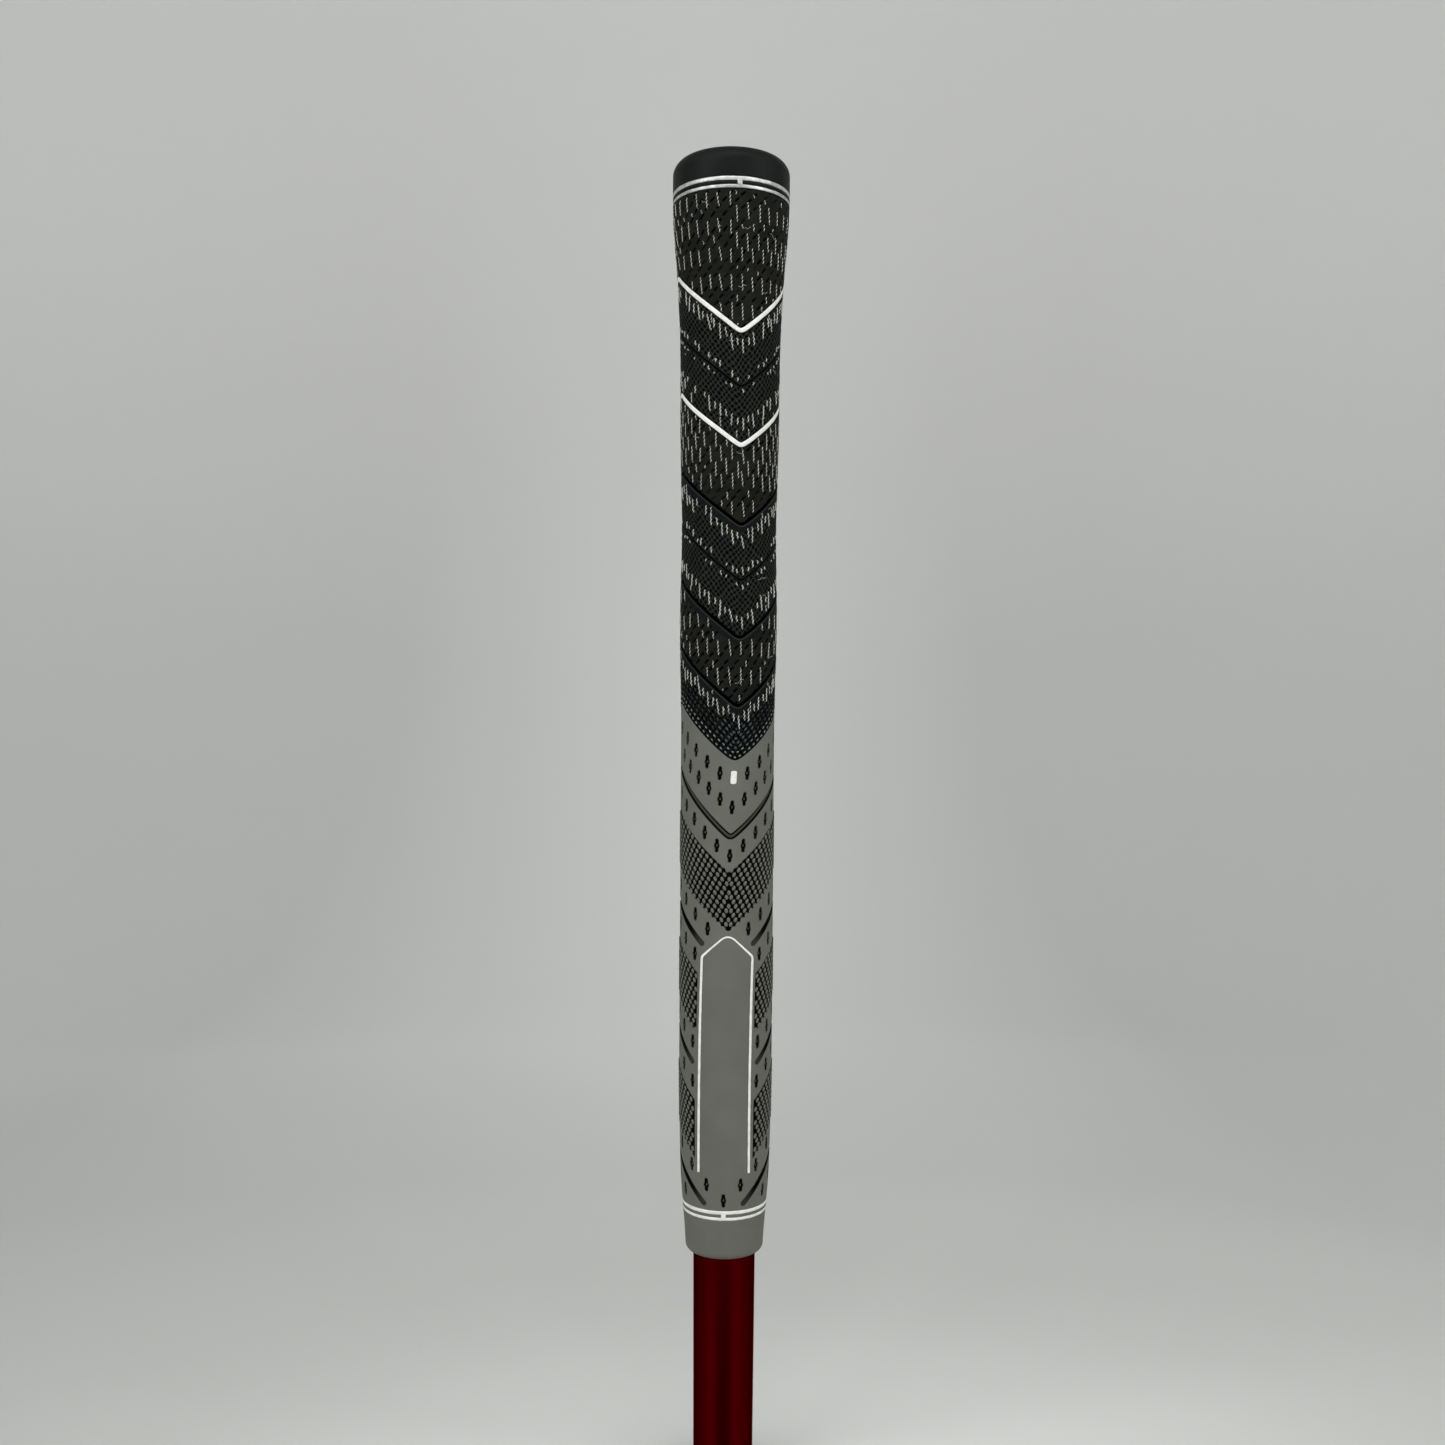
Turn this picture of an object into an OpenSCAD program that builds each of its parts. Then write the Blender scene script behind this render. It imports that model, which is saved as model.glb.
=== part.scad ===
// Corded two-compound golf grip, fitted on the butt of a golf shaft.
// The origin is the centre of the shaft's cut lower end and +Z runs up the shaft to
// the cap. The front of the pattern, with its bare panel, faces -Y.
// Grip pieces are drawn from the mouth up: a height h is measured from the grip's mouth.
// An angle phi is measured round the grip from the line that joins the chevrons' tips.

/* [Shaft] */
// Bare shaft between its cut end and the mouth of the grip
bare_length = 56; // [45:1:80]
// Outside diameter of the shaft's parallel butt
butt_d = 15.24; // [15.1:0.02:15.4]
// Outside diameter of the shaft at its cut end
cut_end_d = 14.56; // [14:0.02:15]
// Bore of the shaft below the grip, which takes a joining spigot
socket_d = 12; // [11:0.1:12.2]
// Bore of the shaft inside the grip
butt_bore_d = 12.6; // [12.4:0.1:13]

/* [Grip] */
// Length of the grip from its mouth to the top of its cap
grip_length = 267; // [265:1:270]
// Diameter of the vent hole in the cap
vent_d = 3; // [2:0.1:4]
// Radius of the cap's shoulder
cap_shoulder = 3.7; // [3:0.1:4]
// Height of the lower end of the corded compound, at its front tip
joint_h = 121; // [118:0.5:124]
// Thickness of the corded skin over the inner core
skin = 1.5; // [1.4:0.1:1.8]
// Share of the twist that fitting by hand left in the grip
twist_share = 1; // [-1:0.1:1]

/* [Chevrons] */
// Share of the chevrons' usual climb from their tips to their peaks at the sides
climb_share = 1; // [0.9:0.01:1.04]
// Width of the painted chevrons
stripe_w = 1.1; // [0.8:0.1:1.4]
// Width of the bare grooves
groove_w = 1.3; // [0.8:0.1:1.4]
// Depth of every groove under the surface
groove_depth = 0.4; // [0.3:0.05:0.5]
// Distance between the lower hand's grooves up the grip
lower_pitch = 31.2; // [31:0.1:31.5]
// Depth of the chevron bands that carry the fine net
net_depth = 0.2; // [0.1:0.05:0.3]

/* [Panel] */
// Width of the bare panel between the centres of its lines
panel_w = 13; // [12:0.1:13.4]
// Width of the panel's line
panel_line = 0.7; // [0.5:0.1:1]

/* [Hidden] */
$fn = 96;

// Diameter of the rubber at heights above the mouth: a thin mouth, an even lower hand,
// two shallow swells for the fingers and a flare to the cap
girth = [[0, 18.9], [6, 19.7], [12, 20.7], [18, 21.6], [26, 22.2], [36, 22.5],
         [48, 22.8], [78, 22.9], [114, 22.9], [132, 23], [154, 23.8], [177, 23.2],
         [200, 24.2], [222, 24.6], [237, 26], [252, 28.3], [260, 28.7], [280, 28.7]];
// Height of one conical step of the revolved surface
level = 6;
// Degrees by which the pattern has turned at heights above the mouth
turn = [[0, -2.4], [34, -2.2], [60, -0.4], [79, 2], [98, 3.4], [109, 5.6], [121, 8.6],
        [134, 11.6], [150, 13], [177, 14.3], [196, 13], [223, 11.6], [258, 8], [280, 8]];
// Height that a chevron climbs, by the height of its tip
rises = [[40, 16], [72, 15], [103, 15.8], [121, 13.5], [134, 14.3], [150, 14], [178, 13.3],
         [196, 13.5], [223, 14.8]];

tape_t = 0.15;
tape_r = butt_d / 2 + tape_t;
tape_start_h = 6;
tape_tuck = 12;
lip_r = 1.5;

cap_h = grip_length - 11;
cap_floor_h = grip_length - 6;
spigot_h = grip_length - 17;

core_start_h = 14;
core_lower_r = 9;
core_step_h = 114;
fabric_t = 0.5;
fabric_gap = 5;
// How far below the joint's tip the cutter of the corded sleeve starts
joint_overlap = 3;

// Tips of the upper hand's chevrons, from the joint to the cap
bare_chevrons = [134, 150.3, 177.3];
hairline_chevrons = [164, 210];
painted_chevrons = [196.1, 223.2];
hairline_w = 0.5;
// Tip of the lower hand's first groove, and of the others below it
lower_chevron_h = 102.7;
net_height = 14;
net_offset = -15.7;
// Angle from the tips at which each lower groove stops, at the front and at the back
groove_stops = [[32, 0], [42.5, 0], [26, 26]];
net_stops = [0, 38.5, 40];

// Degrees over which a chevron's tip is rounded, and the joint's
tip_round = 4;
joint_round = 8;
// Degrees over which a groove narrows to its round end, and its least share of width there
end_reach = 3.2;
end_share = 0.25;
// How far a groove's cutter stands proud, and how deep a cutter goes that parts the wall
proud = 0.8;
through = 6;
// Length of the cutters for a small mark, and how far a rough cut reaches past its finished edge
cutter_length = 2;
margin = 2;
paint_gap = 0.05;

cap_lines = [[grip_length - 10.6, grip_length - 9.75], [grip_length - 8.8, grip_length - 7.7]];
mouth_lines = [[9.95, 10.75], [11.45, 12.4]];
tick_w = 1.2;
mark_h = 116.8;
mark_w = 1.6;
mark_length = 3.2;
panel_low_h = 21.2;
panel_shoulder_h = 73.6;
panel_top_h = 78.8;
panel_tip_w = 2.4;
dart_length = 3.1;
dart_w = 0.7;
dart_eye_w = 1.25;
dart_depth = 0.6;
// Greatest angle of a dart from the tip of its row
last_dart = 86;
// Rows of darts: the lower groove they follow, their height over its tip, the angle of the
// first dart, the step to the next, and the angles kept bare at the front and at the back
dart_rows = [[0, 12.9, 17, 17, 0, 0], [0, 6.9, 0, 15, 0, 0], [0, -4.7, 0, 16.3, 0, 0],
             [1, 4.9, 7.5, 18, 24, 0], [1, -4.6, 7, 18, 42, 0],
             [2, 4.9, 7.5, 18, 42, 0], [2, -4.6, 7, 18, 42, 0],
             [3, 5.3, 0, 21, 0, 0], [3, -4.6, 7.3, 18, 60, 60]];

rubber_black = "#1d1f1e";
rubber_grey = "#66675f";
paint_white = "#e4e4e0";

// ---- surface of the grip -----------------------------------------------------------

function span(table, h, i = 0) =
    i == len(table) - 2 || h <= table[i + 1][0] ? i : span(table, h, i + 1);
function slope_at(table, i) =
    let (a = max(0, i - 1), b = min(len(table) - 1, i + 1))
    (table[b][1] - table[a][1]) / (table[b][0] - table[a][0]);
// Value at a height on the smooth curve through a table of heights and values
function curve(table, h) =
    let (i = span(table, h), length = table[i + 1][0] - table[i][0],
         t = (h - table[i][0]) / length)
    (1 + 2 * t) * pow(1 - t, 2) * table[i][1] + t * t * (3 - 2 * t) * table[i + 1][1]
    + t * pow(1 - t, 2) * length * slope_at(table, i)
    - t * t * (1 - t) * length * slope_at(table, i + 1);
// Radius of the revolved surface, which runs straight between its levels
function surface_r(h) =
    let (i = floor(h / level), low = curve(girth, i * level), high = curve(girth, (i + 1) * level))
    (low + (high - low) * (h / level - i)) / 2;
// Outline points of the surface from one height to another, sunk by a depth
function wall(h0, h1, sink = 0) =
    let (first = floor(h0 / level) + 1, last = ceil(h1 / level) - 1)
    concat([[surface_r(h0) - sink, h0]],
           [for (i = [first:1:last]) [surface_r(i * level) - sink, i * level]],
           [[surface_r(h1) - sink, h1]]);
function turned(points) = [for (i = [len(points) - 1:-1:0]) points[i]];

// Turn of the pattern at a height, from fitting the grip with a slight twist
function twist(h) = twist_share * curve(turn, h);
function on_surface(phi, h, lift) =
    let (a = phi + twist(h), r = surface_r(h) + lift) [r * sin(a), -r * cos(a), h];
function degrees_of(arc, h) = arc / surface_r(h) * 180 / PI;

// ---- chevrons ------------------------------------------------------------------------

// Angles round a quarter of the grip, close together where a chevron turns
QUARTER = [0, 1.5, 3, 5, 8, 13, 24, 35, 45, 55, 66, 77, 82, 85, 87, 88.5];
AROUND = [for (side = [0:3]) for (d = QUARTER) side * 90 + d];

function rise_of(tip_h) = climb_share * lookup(tip_h, rises);
function arm(d, r) = sqrt(d * d + r * r) - r;
// Climb of a chevron at an angle from its tip: straight arms, with round tips at the
// front and back and round peaks at the sides
function climb(phi, rise, r = tip_round) =
    let (m = ((phi % 180) + 180) % 180, d = min(m, 180 - m), middle = 2 * arm(45, r))
    rise * (d < 45 ? arm(d, r) : middle - arm(90 - d, r)) / middle;
// A point on a chevron, as its angle and height
function on_chevron(phi, tip_h, off = 0) = [phi, tip_h + off + climb(phi, rise_of(tip_h))];
// Half the height of a stroke where it climbs, so that its width stays even
function half_stroke(phi, tip_h, w) =
    let (rise = rise_of(tip_h), run = 0.5 * PI / 180 * surface_r(tip_h + climb(phi, rise)),
         slope = (climb(phi + 0.25, rise) - climb(phi - 0.25, rise)) / run)
    w / 2 * sqrt(1 + slope * slope);
// Angles from one stop to another, with close steps at the ends for round ends
function stretch(from, to) =
    let (near = [0, 0.3, 1, 2, end_reach])
    concat([for (d = near) from + d],
           [for (a = AROUND) if (a > from + 5 && a < to - 5) a],
           [for (i = [len(near) - 1:-1:0]) to - near[i]]);
// Half-round narrowing of a groove towards its stops
function ending(phi, from, to) =
    let (d = min(phi - from, to - phi), short = (end_reach - d) / end_reach)
    d >= end_reach ? 1 : max(end_share, sqrt(1 - short * short));

// A solid between two edges drawn on the surface, from under it to above it
module strip(low, high, depth, lift, closed = true) {
    n = len(low);
    points = [for (i = [0:n - 1])
        each [on_surface(low[i][0], low[i][1], -depth), on_surface(low[i][0], low[i][1], lift),
              on_surface(high[i][0], high[i][1], lift), on_surface(high[i][0], high[i][1], -depth)]];
    sides = [for (i = [0:n - (closed ? 1 : 2)]) for (k = [0:3])
        let (j = (i + 1) % n, m = (k + 1) % 4)
        each [[4 * i + k, 4 * i + m, 4 * j + m], [4 * i + k, 4 * j + m, 4 * j + k]]];
    ends = closed ? [] : [[0, 3, 2, 1], [for (k = [0:3]) 4 * (n - 1) + k]];
    polyhedron(points, concat(sides, ends), convexity = 10);
}

// A groove's solid along one chevron, all the way round
module chevron(tip_h, w) {
    strip([for (a = AROUND) on_chevron(a, tip_h, -half_stroke(a, tip_h, w))],
          [for (a = AROUND) on_chevron(a, tip_h, half_stroke(a, tip_h, w))], groove_depth, proud);
}

// A groove along one chevron between two angles, with round ends
module chevron_arm(tip_h, w, from, to) {
    line = stretch(from, to);
    halves = [for (a = line) ending(a, from, to) * half_stroke(a, tip_h, w)];
    strip([for (i = [0:len(line) - 1]) on_chevron(line[i], tip_h, -halves[i])],
          [for (i = [0:len(line) - 1]) on_chevron(line[i], tip_h, halves[i])],
          groove_depth, proud, false);
}

// The joint between the two compounds, or a line above it
function joint_line(off = 0) =
    [for (a = AROUND) [a, joint_h + off + climb(a, rise_of(joint_h), joint_round)]];
// Everything above or below the joint, through the whole wall
module above_joint(off = 0) {
    strip(joint_line(off), [for (a = AROUND) [a, grip_length]], through, through);
}
module below_joint() {
    strip([for (a = AROUND) [a, joint_h - joint_overlap]], joint_line(), through, through);
}

// ---- paint ---------------------------------------------------------------------------

// Everything within the surface, down to under the grooves
module under_surface(h0, h1) {
    rotate_extrude($fn = 240)
        polygon(concat(wall(h0, h1, margin), turned(wall(h0, h1, paint_gap))));
}

module ring(band, sink, lift) {
    rotate_extrude()
        polygon(concat(wall(band[0], band[1], sink), turned(wall(band[0], band[1], -lift))));
}

// The bar that joins two ring lines at the front
module tick(lines, sink, lift) {
    intersection() {
        ring([lines[0][1], lines[1][0]], sink, lift);
        rotate([0, 0, twist(lines[0][1])])
            translate([-tick_w / 2, -surface_r(lines[0][1]) - margin, lines[0][0]])
                cube([tick_w, 2 * margin, lines[1][1] - lines[0][0]]);
    }
}

module rounded_bar(w, length) {
    r = w * 0.38;
    square([w - 2 * r, length], center = true);
    square([w, length - 2 * r], center = true);
    for (x = [-1, 1], y = [-1, 1])
        translate([x * (w / 2 - r), y * (length / 2 - r)]) circle(r, $fn = 24);
}

module mark_solid() {
    rotate([0, 0, twist(mark_h)])
        translate([0, groove_depth - surface_r(mark_h), mark_h])
            rotate([90, 0, 0])
                linear_extrude(cutter_length) rounded_bar(mark_w, mark_length);
}

// Centre line of the panel's outline as [arc, height]: up one side, over a blunt tip
// and down the other
panel_rows = [for (i = [0:7]) panel_low_h + (panel_shoulder_h - panel_low_h) * i / 7];
panel_half = panel_w / 2;
panel_line_points = concat(
    [for (h = panel_rows) [-panel_half, h]],
    [[-panel_tip_w / 2, panel_top_h - 0.5], [-panel_tip_w / 5, panel_top_h],
     [panel_tip_w / 5, panel_top_h], [panel_tip_w / 2, panel_top_h - 0.5]],
    [for (i = [len(panel_rows) - 1:-1:0]) [panel_half, panel_rows[i]]]);

function unit(v) = v / norm(v);
// Points beside a line at a distance, square to it
function beside(line, d) = [for (i = [0:len(line) - 1])
    let (before = unit(line[max(i, 1)] - line[max(i, 1) - 1]),
         after = unit(line[min(i + 1, len(line) - 1)] - line[min(i, len(line) - 2)]),
         along = unit(before + after),
         out = [-along[1], along[0]] * d / (along * after))
    line[i] + out];
function on_grip(line) = [for (p = line) [degrees_of(p[0], p[1]), p[1]]];

module panel_solid() {
    strip(on_grip(beside(panel_line_points, -panel_line / 2)),
          on_grip(beside(panel_line_points, panel_line / 2)), groove_depth, proud, false);
}

// ---- darts ---------------------------------------------------------------------------

// One dart: a fine slot along the grip that widens to an eye in its middle
module dart_outline() {
    w = dart_w / 2;
    e = dart_eye_w / 2;
    l = dart_length / 2;
    polygon([[-w, -l], [w, -l], [w, -e], [e, 0], [w, e], [w, l], [-w, l], [-w, e], [-e, 0], [-w, -e]]);
}

module dart(phi, h) {
    rotate([0, 0, phi + twist(h)])
        translate([0, dart_depth - surface_r(h), h])
            rotate([90, 0, 0]) linear_extrude(cutter_length) dart_outline();
}

// A row of darts along a chevron-shaped line, on the front face and on the back one
module dart_row(row) {
    tip = lower_chevron_h - row[0] * lower_pitch + row[1];
    for (face = [0, 1], k = [0:6], way = [-1, 1]) {
        d = row[2] + k * row[3];
        if (d <= last_dart && d >= row[4 + face] && (d > 0 || way > 0))
            dart(180 * face + way * d, tip + climb(d, rise_of(tip)));
    }
}

// ---- pieces --------------------------------------------------------------------------

module on_shaft() { translate([0, 0, bare_length]) children(); }

module shaft_tube() {
    butt_top = bare_length + cap_floor_h - tape_t;
    color("#5a0508") difference() {
        union() {
            cylinder(h = bare_length, d1 = cut_end_d, d2 = butt_d);
            translate([0, 0, bare_length]) cylinder(h = butt_top - bare_length, d = butt_d);
        }
        translate([0, 0, -1]) cylinder(h = bare_length + 2, d = socket_d);
        translate([0, 0, bare_length]) cylinder(h = butt_top, d = butt_bore_d);
    }
}

// Double-sided tape: wrapped round the butt, folded over its end and tucked inside
module grip_tape() {
    bore_r = butt_bore_d / 2;
    color("#c9b88f") on_shaft() rotate_extrude() polygon([
        [butt_d / 2, tape_start_h], [tape_r, tape_start_h], [tape_r, cap_floor_h],
        [bore_r - tape_t, cap_floor_h], [bore_r - tape_t, cap_floor_h - tape_tuck],
        [bore_r, cap_floor_h - tape_tuck], [bore_r, cap_floor_h - tape_t],
        [butt_d / 2, cap_floor_h - tape_t]]);
}

module rubber_core() {
    color(rubber_black) on_shaft() rotate_extrude() polygon(concat(
        [[tape_r, core_start_h], [core_lower_r, core_start_h], [core_lower_r, core_step_h]],
        wall(core_step_h, spigot_h, skin), [[tape_r, spigot_h]]));
}

module fabric_solid() {
    intersection() {
        rotate_extrude() polygon(concat(wall(joint_h, cap_h, skin),
                                        turned(wall(joint_h, cap_h, skin - fabric_t))));
        above_joint(fabric_gap);
    }
}

module cord_fabric() { color("#b9b3a1") on_shaft() fabric_solid(); }

module corded_sleeve() {
    color(rubber_black) on_shaft() difference() {
        rotate_extrude() polygon(concat(wall(joint_h - 1, cap_h, skin),
                                        turned(wall(joint_h - 1, cap_h))));
        below_joint();
        fabric_solid();
        for (h = painted_chevrons) chevron(h, stripe_w);
        for (h = bare_chevrons) chevron(h, groove_w);
        for (h = hairline_chevrons) chevron(h, hairline_w);
    }
}

module soft_sleeve() {
    top = joint_h + rise_of(joint_h) + 1;
    mouth_r = surface_r(0);
    lip = [for (a = [0:15:75]) [mouth_r - lip_r * (1 - sin(a)), lip_r * (1 - cos(a))]];
    color(rubber_grey) on_shaft() difference() {
        rotate_extrude() polygon(concat(
            [[butt_d / 2, 0]], lip, wall(lip_r, top), turned(wall(core_step_h, top, skin)),
            [[core_lower_r, core_step_h], [core_lower_r, core_start_h], [tape_r, core_start_h],
             [tape_r, tape_start_h], [butt_d / 2, tape_start_h]]));
        above_joint();
        for (band = mouth_lines) ring(band, groove_depth, proud);
        tick(mouth_lines, groove_depth, proud);
        mark_solid();
        panel_solid();
        chevron(lower_chevron_h, groove_w);
        lower_grooves();
        net_bands();
        for (row = dart_rows) dart_row(row);
    }
}

module lower_grooves() {
    for (i = [0:len(groove_stops) - 1]) {
        tip = lower_chevron_h - (i + 1) * lower_pitch;
        front = groove_stops[i][0];
        back = groove_stops[i][1];
        if (back == 0)
            chevron_arm(tip, groove_w, front, 360 - front);
        else
            for (start = [front, 180 + back])
                chevron_arm(tip, groove_w, start, start + 180 - front - back);
    }
}

module net_bands() {
    for (i = [0:len(net_stops) - 1]) {
        middle = lower_chevron_h + net_offset - i * lower_pitch;
        stop = net_stops[i];
        line = stop == 0 ? AROUND : stretch(stop, 360 - stop);
        strip([for (a = line) on_chevron(a, middle, -net_height / 2)],
              [for (a = line) on_chevron(a, middle, net_height / 2)], net_depth, proud, stop == 0);
    }
}

module end_cap() {
    top = grip_length;
    edge_r = surface_r(top - cap_shoulder);
    shoulder = [for (a = [0:15:90])
        [edge_r - cap_shoulder * (1 - cos(a)), top - cap_shoulder * (1 - sin(a))]];
    color(rubber_black) on_shaft() difference() {
        rotate_extrude() polygon(concat(
            [[tape_r, spigot_h]], wall(spigot_h, cap_h, skin),
            wall(cap_h, top - cap_shoulder - 0.01), shoulder,
            [[vent_d / 2, top], [vent_d / 2, cap_floor_h], [tape_r, cap_floor_h]]));
        for (band = cap_lines) ring(band, groove_depth, proud);
        tick(cap_lines, groove_depth, proud);
    }
}

// Paint fills its groove from the floor to a hair under the rubber
module painted_ring(band) { color(paint_white) on_shaft() ring(band, groove_depth, -paint_gap); }
module painted_tick(lines) { color(paint_white) on_shaft() tick(lines, groove_depth, -paint_gap); }
module cap_line_upper() { painted_ring(cap_lines[1]); }
module cap_line_lower() { painted_ring(cap_lines[0]); }
module cap_line_tick() { painted_tick(cap_lines); }
module mouth_line_upper() { painted_ring(mouth_lines[1]); }
module mouth_line_lower() { painted_ring(mouth_lines[0]); }
module mouth_line_tick() { painted_tick(mouth_lines); }

module painted_chevron(tip_h) {
    color(paint_white) on_shaft() intersection() {
        chevron(tip_h, stripe_w);
        under_surface(tip_h - margin, tip_h + rise_of(tip_h) + margin);
    }
}
module chevron_upper() { painted_chevron(painted_chevrons[1]); }
module chevron_lower() { painted_chevron(painted_chevrons[0]); }

module alignment_mark() {
    color(paint_white) on_shaft() intersection() {
        mark_solid();
        under_surface(mark_h - mark_length, mark_h + mark_length);
    }
}

module panel_outline() {
    color(paint_white) on_shaft() intersection() {
        panel_solid();
        under_surface(panel_low_h - margin, panel_top_h + margin);
    }
}

shaft_tube();
grip_tape();
rubber_core();
cord_fabric();
corded_sleeve();
soft_sleeve();
end_cap();
cap_line_upper();
cap_line_lower();
cap_line_tick();
chevron_upper();
chevron_lower();
alignment_mark();
panel_outline();
mouth_line_upper();
mouth_line_lower();
mouth_line_tick();
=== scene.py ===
# %% [markdown]
# # A corded golf grip on the butt of its shaft
#
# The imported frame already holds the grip's pieces at their real size. This lesson dresses it: the
# rubber gets its moulded chevrons, net and darts, the cord gets its yarn, and each surface gets
# the finish that the real one has. It could be sculpted by hand, but a pattern that a toolmaker
# cut by rule is truer when it is drawn by rule. Lengths are typed in millimetres and turned to
# metres once, where points are made.

# %% Load the frame
import math

import bpy
import numpy as np
from mathutils import Matrix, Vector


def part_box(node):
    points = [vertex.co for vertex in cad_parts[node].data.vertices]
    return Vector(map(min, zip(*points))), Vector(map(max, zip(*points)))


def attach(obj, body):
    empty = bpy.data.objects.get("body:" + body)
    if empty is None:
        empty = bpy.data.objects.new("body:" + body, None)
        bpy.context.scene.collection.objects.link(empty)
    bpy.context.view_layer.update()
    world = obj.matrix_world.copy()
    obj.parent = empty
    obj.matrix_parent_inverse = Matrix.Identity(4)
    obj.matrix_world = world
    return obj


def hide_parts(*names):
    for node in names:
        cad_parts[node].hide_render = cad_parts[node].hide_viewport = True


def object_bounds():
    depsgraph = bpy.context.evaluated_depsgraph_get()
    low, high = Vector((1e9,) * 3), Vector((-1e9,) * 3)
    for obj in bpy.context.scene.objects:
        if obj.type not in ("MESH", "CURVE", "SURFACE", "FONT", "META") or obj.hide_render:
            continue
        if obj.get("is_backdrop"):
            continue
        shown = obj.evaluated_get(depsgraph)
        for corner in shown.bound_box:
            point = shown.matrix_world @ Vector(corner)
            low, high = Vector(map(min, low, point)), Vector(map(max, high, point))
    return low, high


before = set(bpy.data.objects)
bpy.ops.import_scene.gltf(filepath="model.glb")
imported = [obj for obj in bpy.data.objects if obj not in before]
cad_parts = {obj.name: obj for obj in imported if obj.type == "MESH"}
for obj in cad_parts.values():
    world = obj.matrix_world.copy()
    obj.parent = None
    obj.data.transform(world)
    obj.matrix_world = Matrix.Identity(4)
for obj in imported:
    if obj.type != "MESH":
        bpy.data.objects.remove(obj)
cad_box = [list(corner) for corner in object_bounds()]
mm = 0.001
print("CAD box in mm:", [[round(x / mm, 2) for x in corner] for corner in cad_box])

# %% [markdown]
# ## The camera
#
# A long thin thing looks honest from a little more than its own length away with a normal lens,
# level with its middle. A constraint could aim the camera, but it can't hold a small roll, so
# three directions of its own place it: to its right, ahead and up. It leans by less than a
# degree, as a camera held by hand does.

# %% Place the camera
scene = bpy.context.scene
distance_mm, side_step_mm, aim_height_mm, lens_mm = 358.7, -1.283, 185.8, 36.23
lean, roll = 0.0114, 0.0069
right = np.array([math.cos(roll), math.sin(lean) * math.sin(roll), math.cos(lean) * math.sin(roll)])
ahead = np.array([0.0, math.cos(lean), -math.sin(lean)])
up = np.cross(right, ahead)
place_mm = np.array([0, 0, aim_height_mm]) + side_step_mm * right - distance_mm * ahead

camera = bpy.data.objects.new("camera", bpy.data.cameras.new("camera"))
camera.data.lens = lens_mm
camera.data.clip_start = 0.01
camera.matrix_world = Matrix([
    [right[i], up[i], -ahead[i], place_mm[i] * mm] for i in range(3)] + [[0, 0, 0, 1]])
scene.collection.objects.link(camera)
scene.camera = camera
scene.view_settings.view_transform = "Standard"
print("camera at", [round(float(x), 1) for x in place_mm], "mm")

# %% [markdown]
# ## Helpers for materials
#
# Paint charts and screens give colours as sRGB hex values, but a shader adds up light, so every
# colour goes through one function that makes it linear. One more function adds a node: its own
# settings are words, its sockets take a value, a hex colour or another node's output, and it
# gives back one of its outputs. Sockets are named, or counted as Blender counts them: a Map Range
# takes a value (0), the range it comes in (1, 2) and the range it goes to (3, 4), and a Mix of
# colours takes a share (0) and two colours (6, 7), and gives output 2.

# %% Colours and nodes
def linear(hex_colour):
    """An sRGB colour such as "#1d1f1e" as the linear colour that a shader takes."""
    parts = [int(hex_colour[i:i + 2], 16) / 255 for i in (1, 3, 5)]
    return [c / 12.92 if c <= 0.04045 else ((c + 0.055) / 1.055) ** 2.4 for c in parts] + [1.0]


def fill(node, sockets):
    """Gives a node's sockets a value or a hex colour, or joins another node's output to them."""
    for name, value in sockets.items():
        if isinstance(value, bpy.types.NodeSocket):
            node.id_data.links.new(value, node.inputs[name])
        else:
            node.inputs[name].default_value = linear(value) if isinstance(value, str) else value


def add(material, kind, sockets=(), out=0, **settings):
    """Adds one node to a material, with its settings and sockets, and gives one of its outputs."""
    node = material.node_tree.nodes.new("ShaderNode" + kind)
    for name, value in settings.items():
        setattr(node, name, value)
    fill(node, dict(sockets))
    return node.outputs[out]


def new_material(name):
    """A material with one Principled shader, and the coordinates that stay with its piece."""
    material = bpy.data.materials.new(name)
    material.use_nodes = True
    return material, add(material, "TexCoord", out="Object")


def shade(material, sockets):
    """Fills the shader's own sockets: with one number for all of the surface, or with a pattern."""
    fill(material.node_tree.nodes["Principled BSDF"], sockets)
    print("material", material.name, "has", len(material.node_tree.nodes), "nodes")
    return material


def lumps(size_mm):
    """The scale of a noise whose lumps are size_mm across."""
    return 1 / (size_mm * mm)


full_turn = 6.283
print("a noise with lumps of 1 mm has a scale of", round(lumps(1.0)))

# %% [markdown]
# ## Soft grey rubber
#
# The lower hand is a thermoset rubber, moulded in one shot and left matt. The mould is lightly
# blasted, so the skin has a fine grain. The recesses are painted darker: painted shade where little
# light reaches in. Such shade could be baked from the shape, but the mesh here knows its own
# grooves, so it carries a number called "sunk" at each point, and the painted shade follows the
# real grooves exactly.

# %% Moulded grey rubber
# The eye sees an even, dull grey: the blasted grain kills every sharp highlight.
rubber_ior = 1.52


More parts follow.
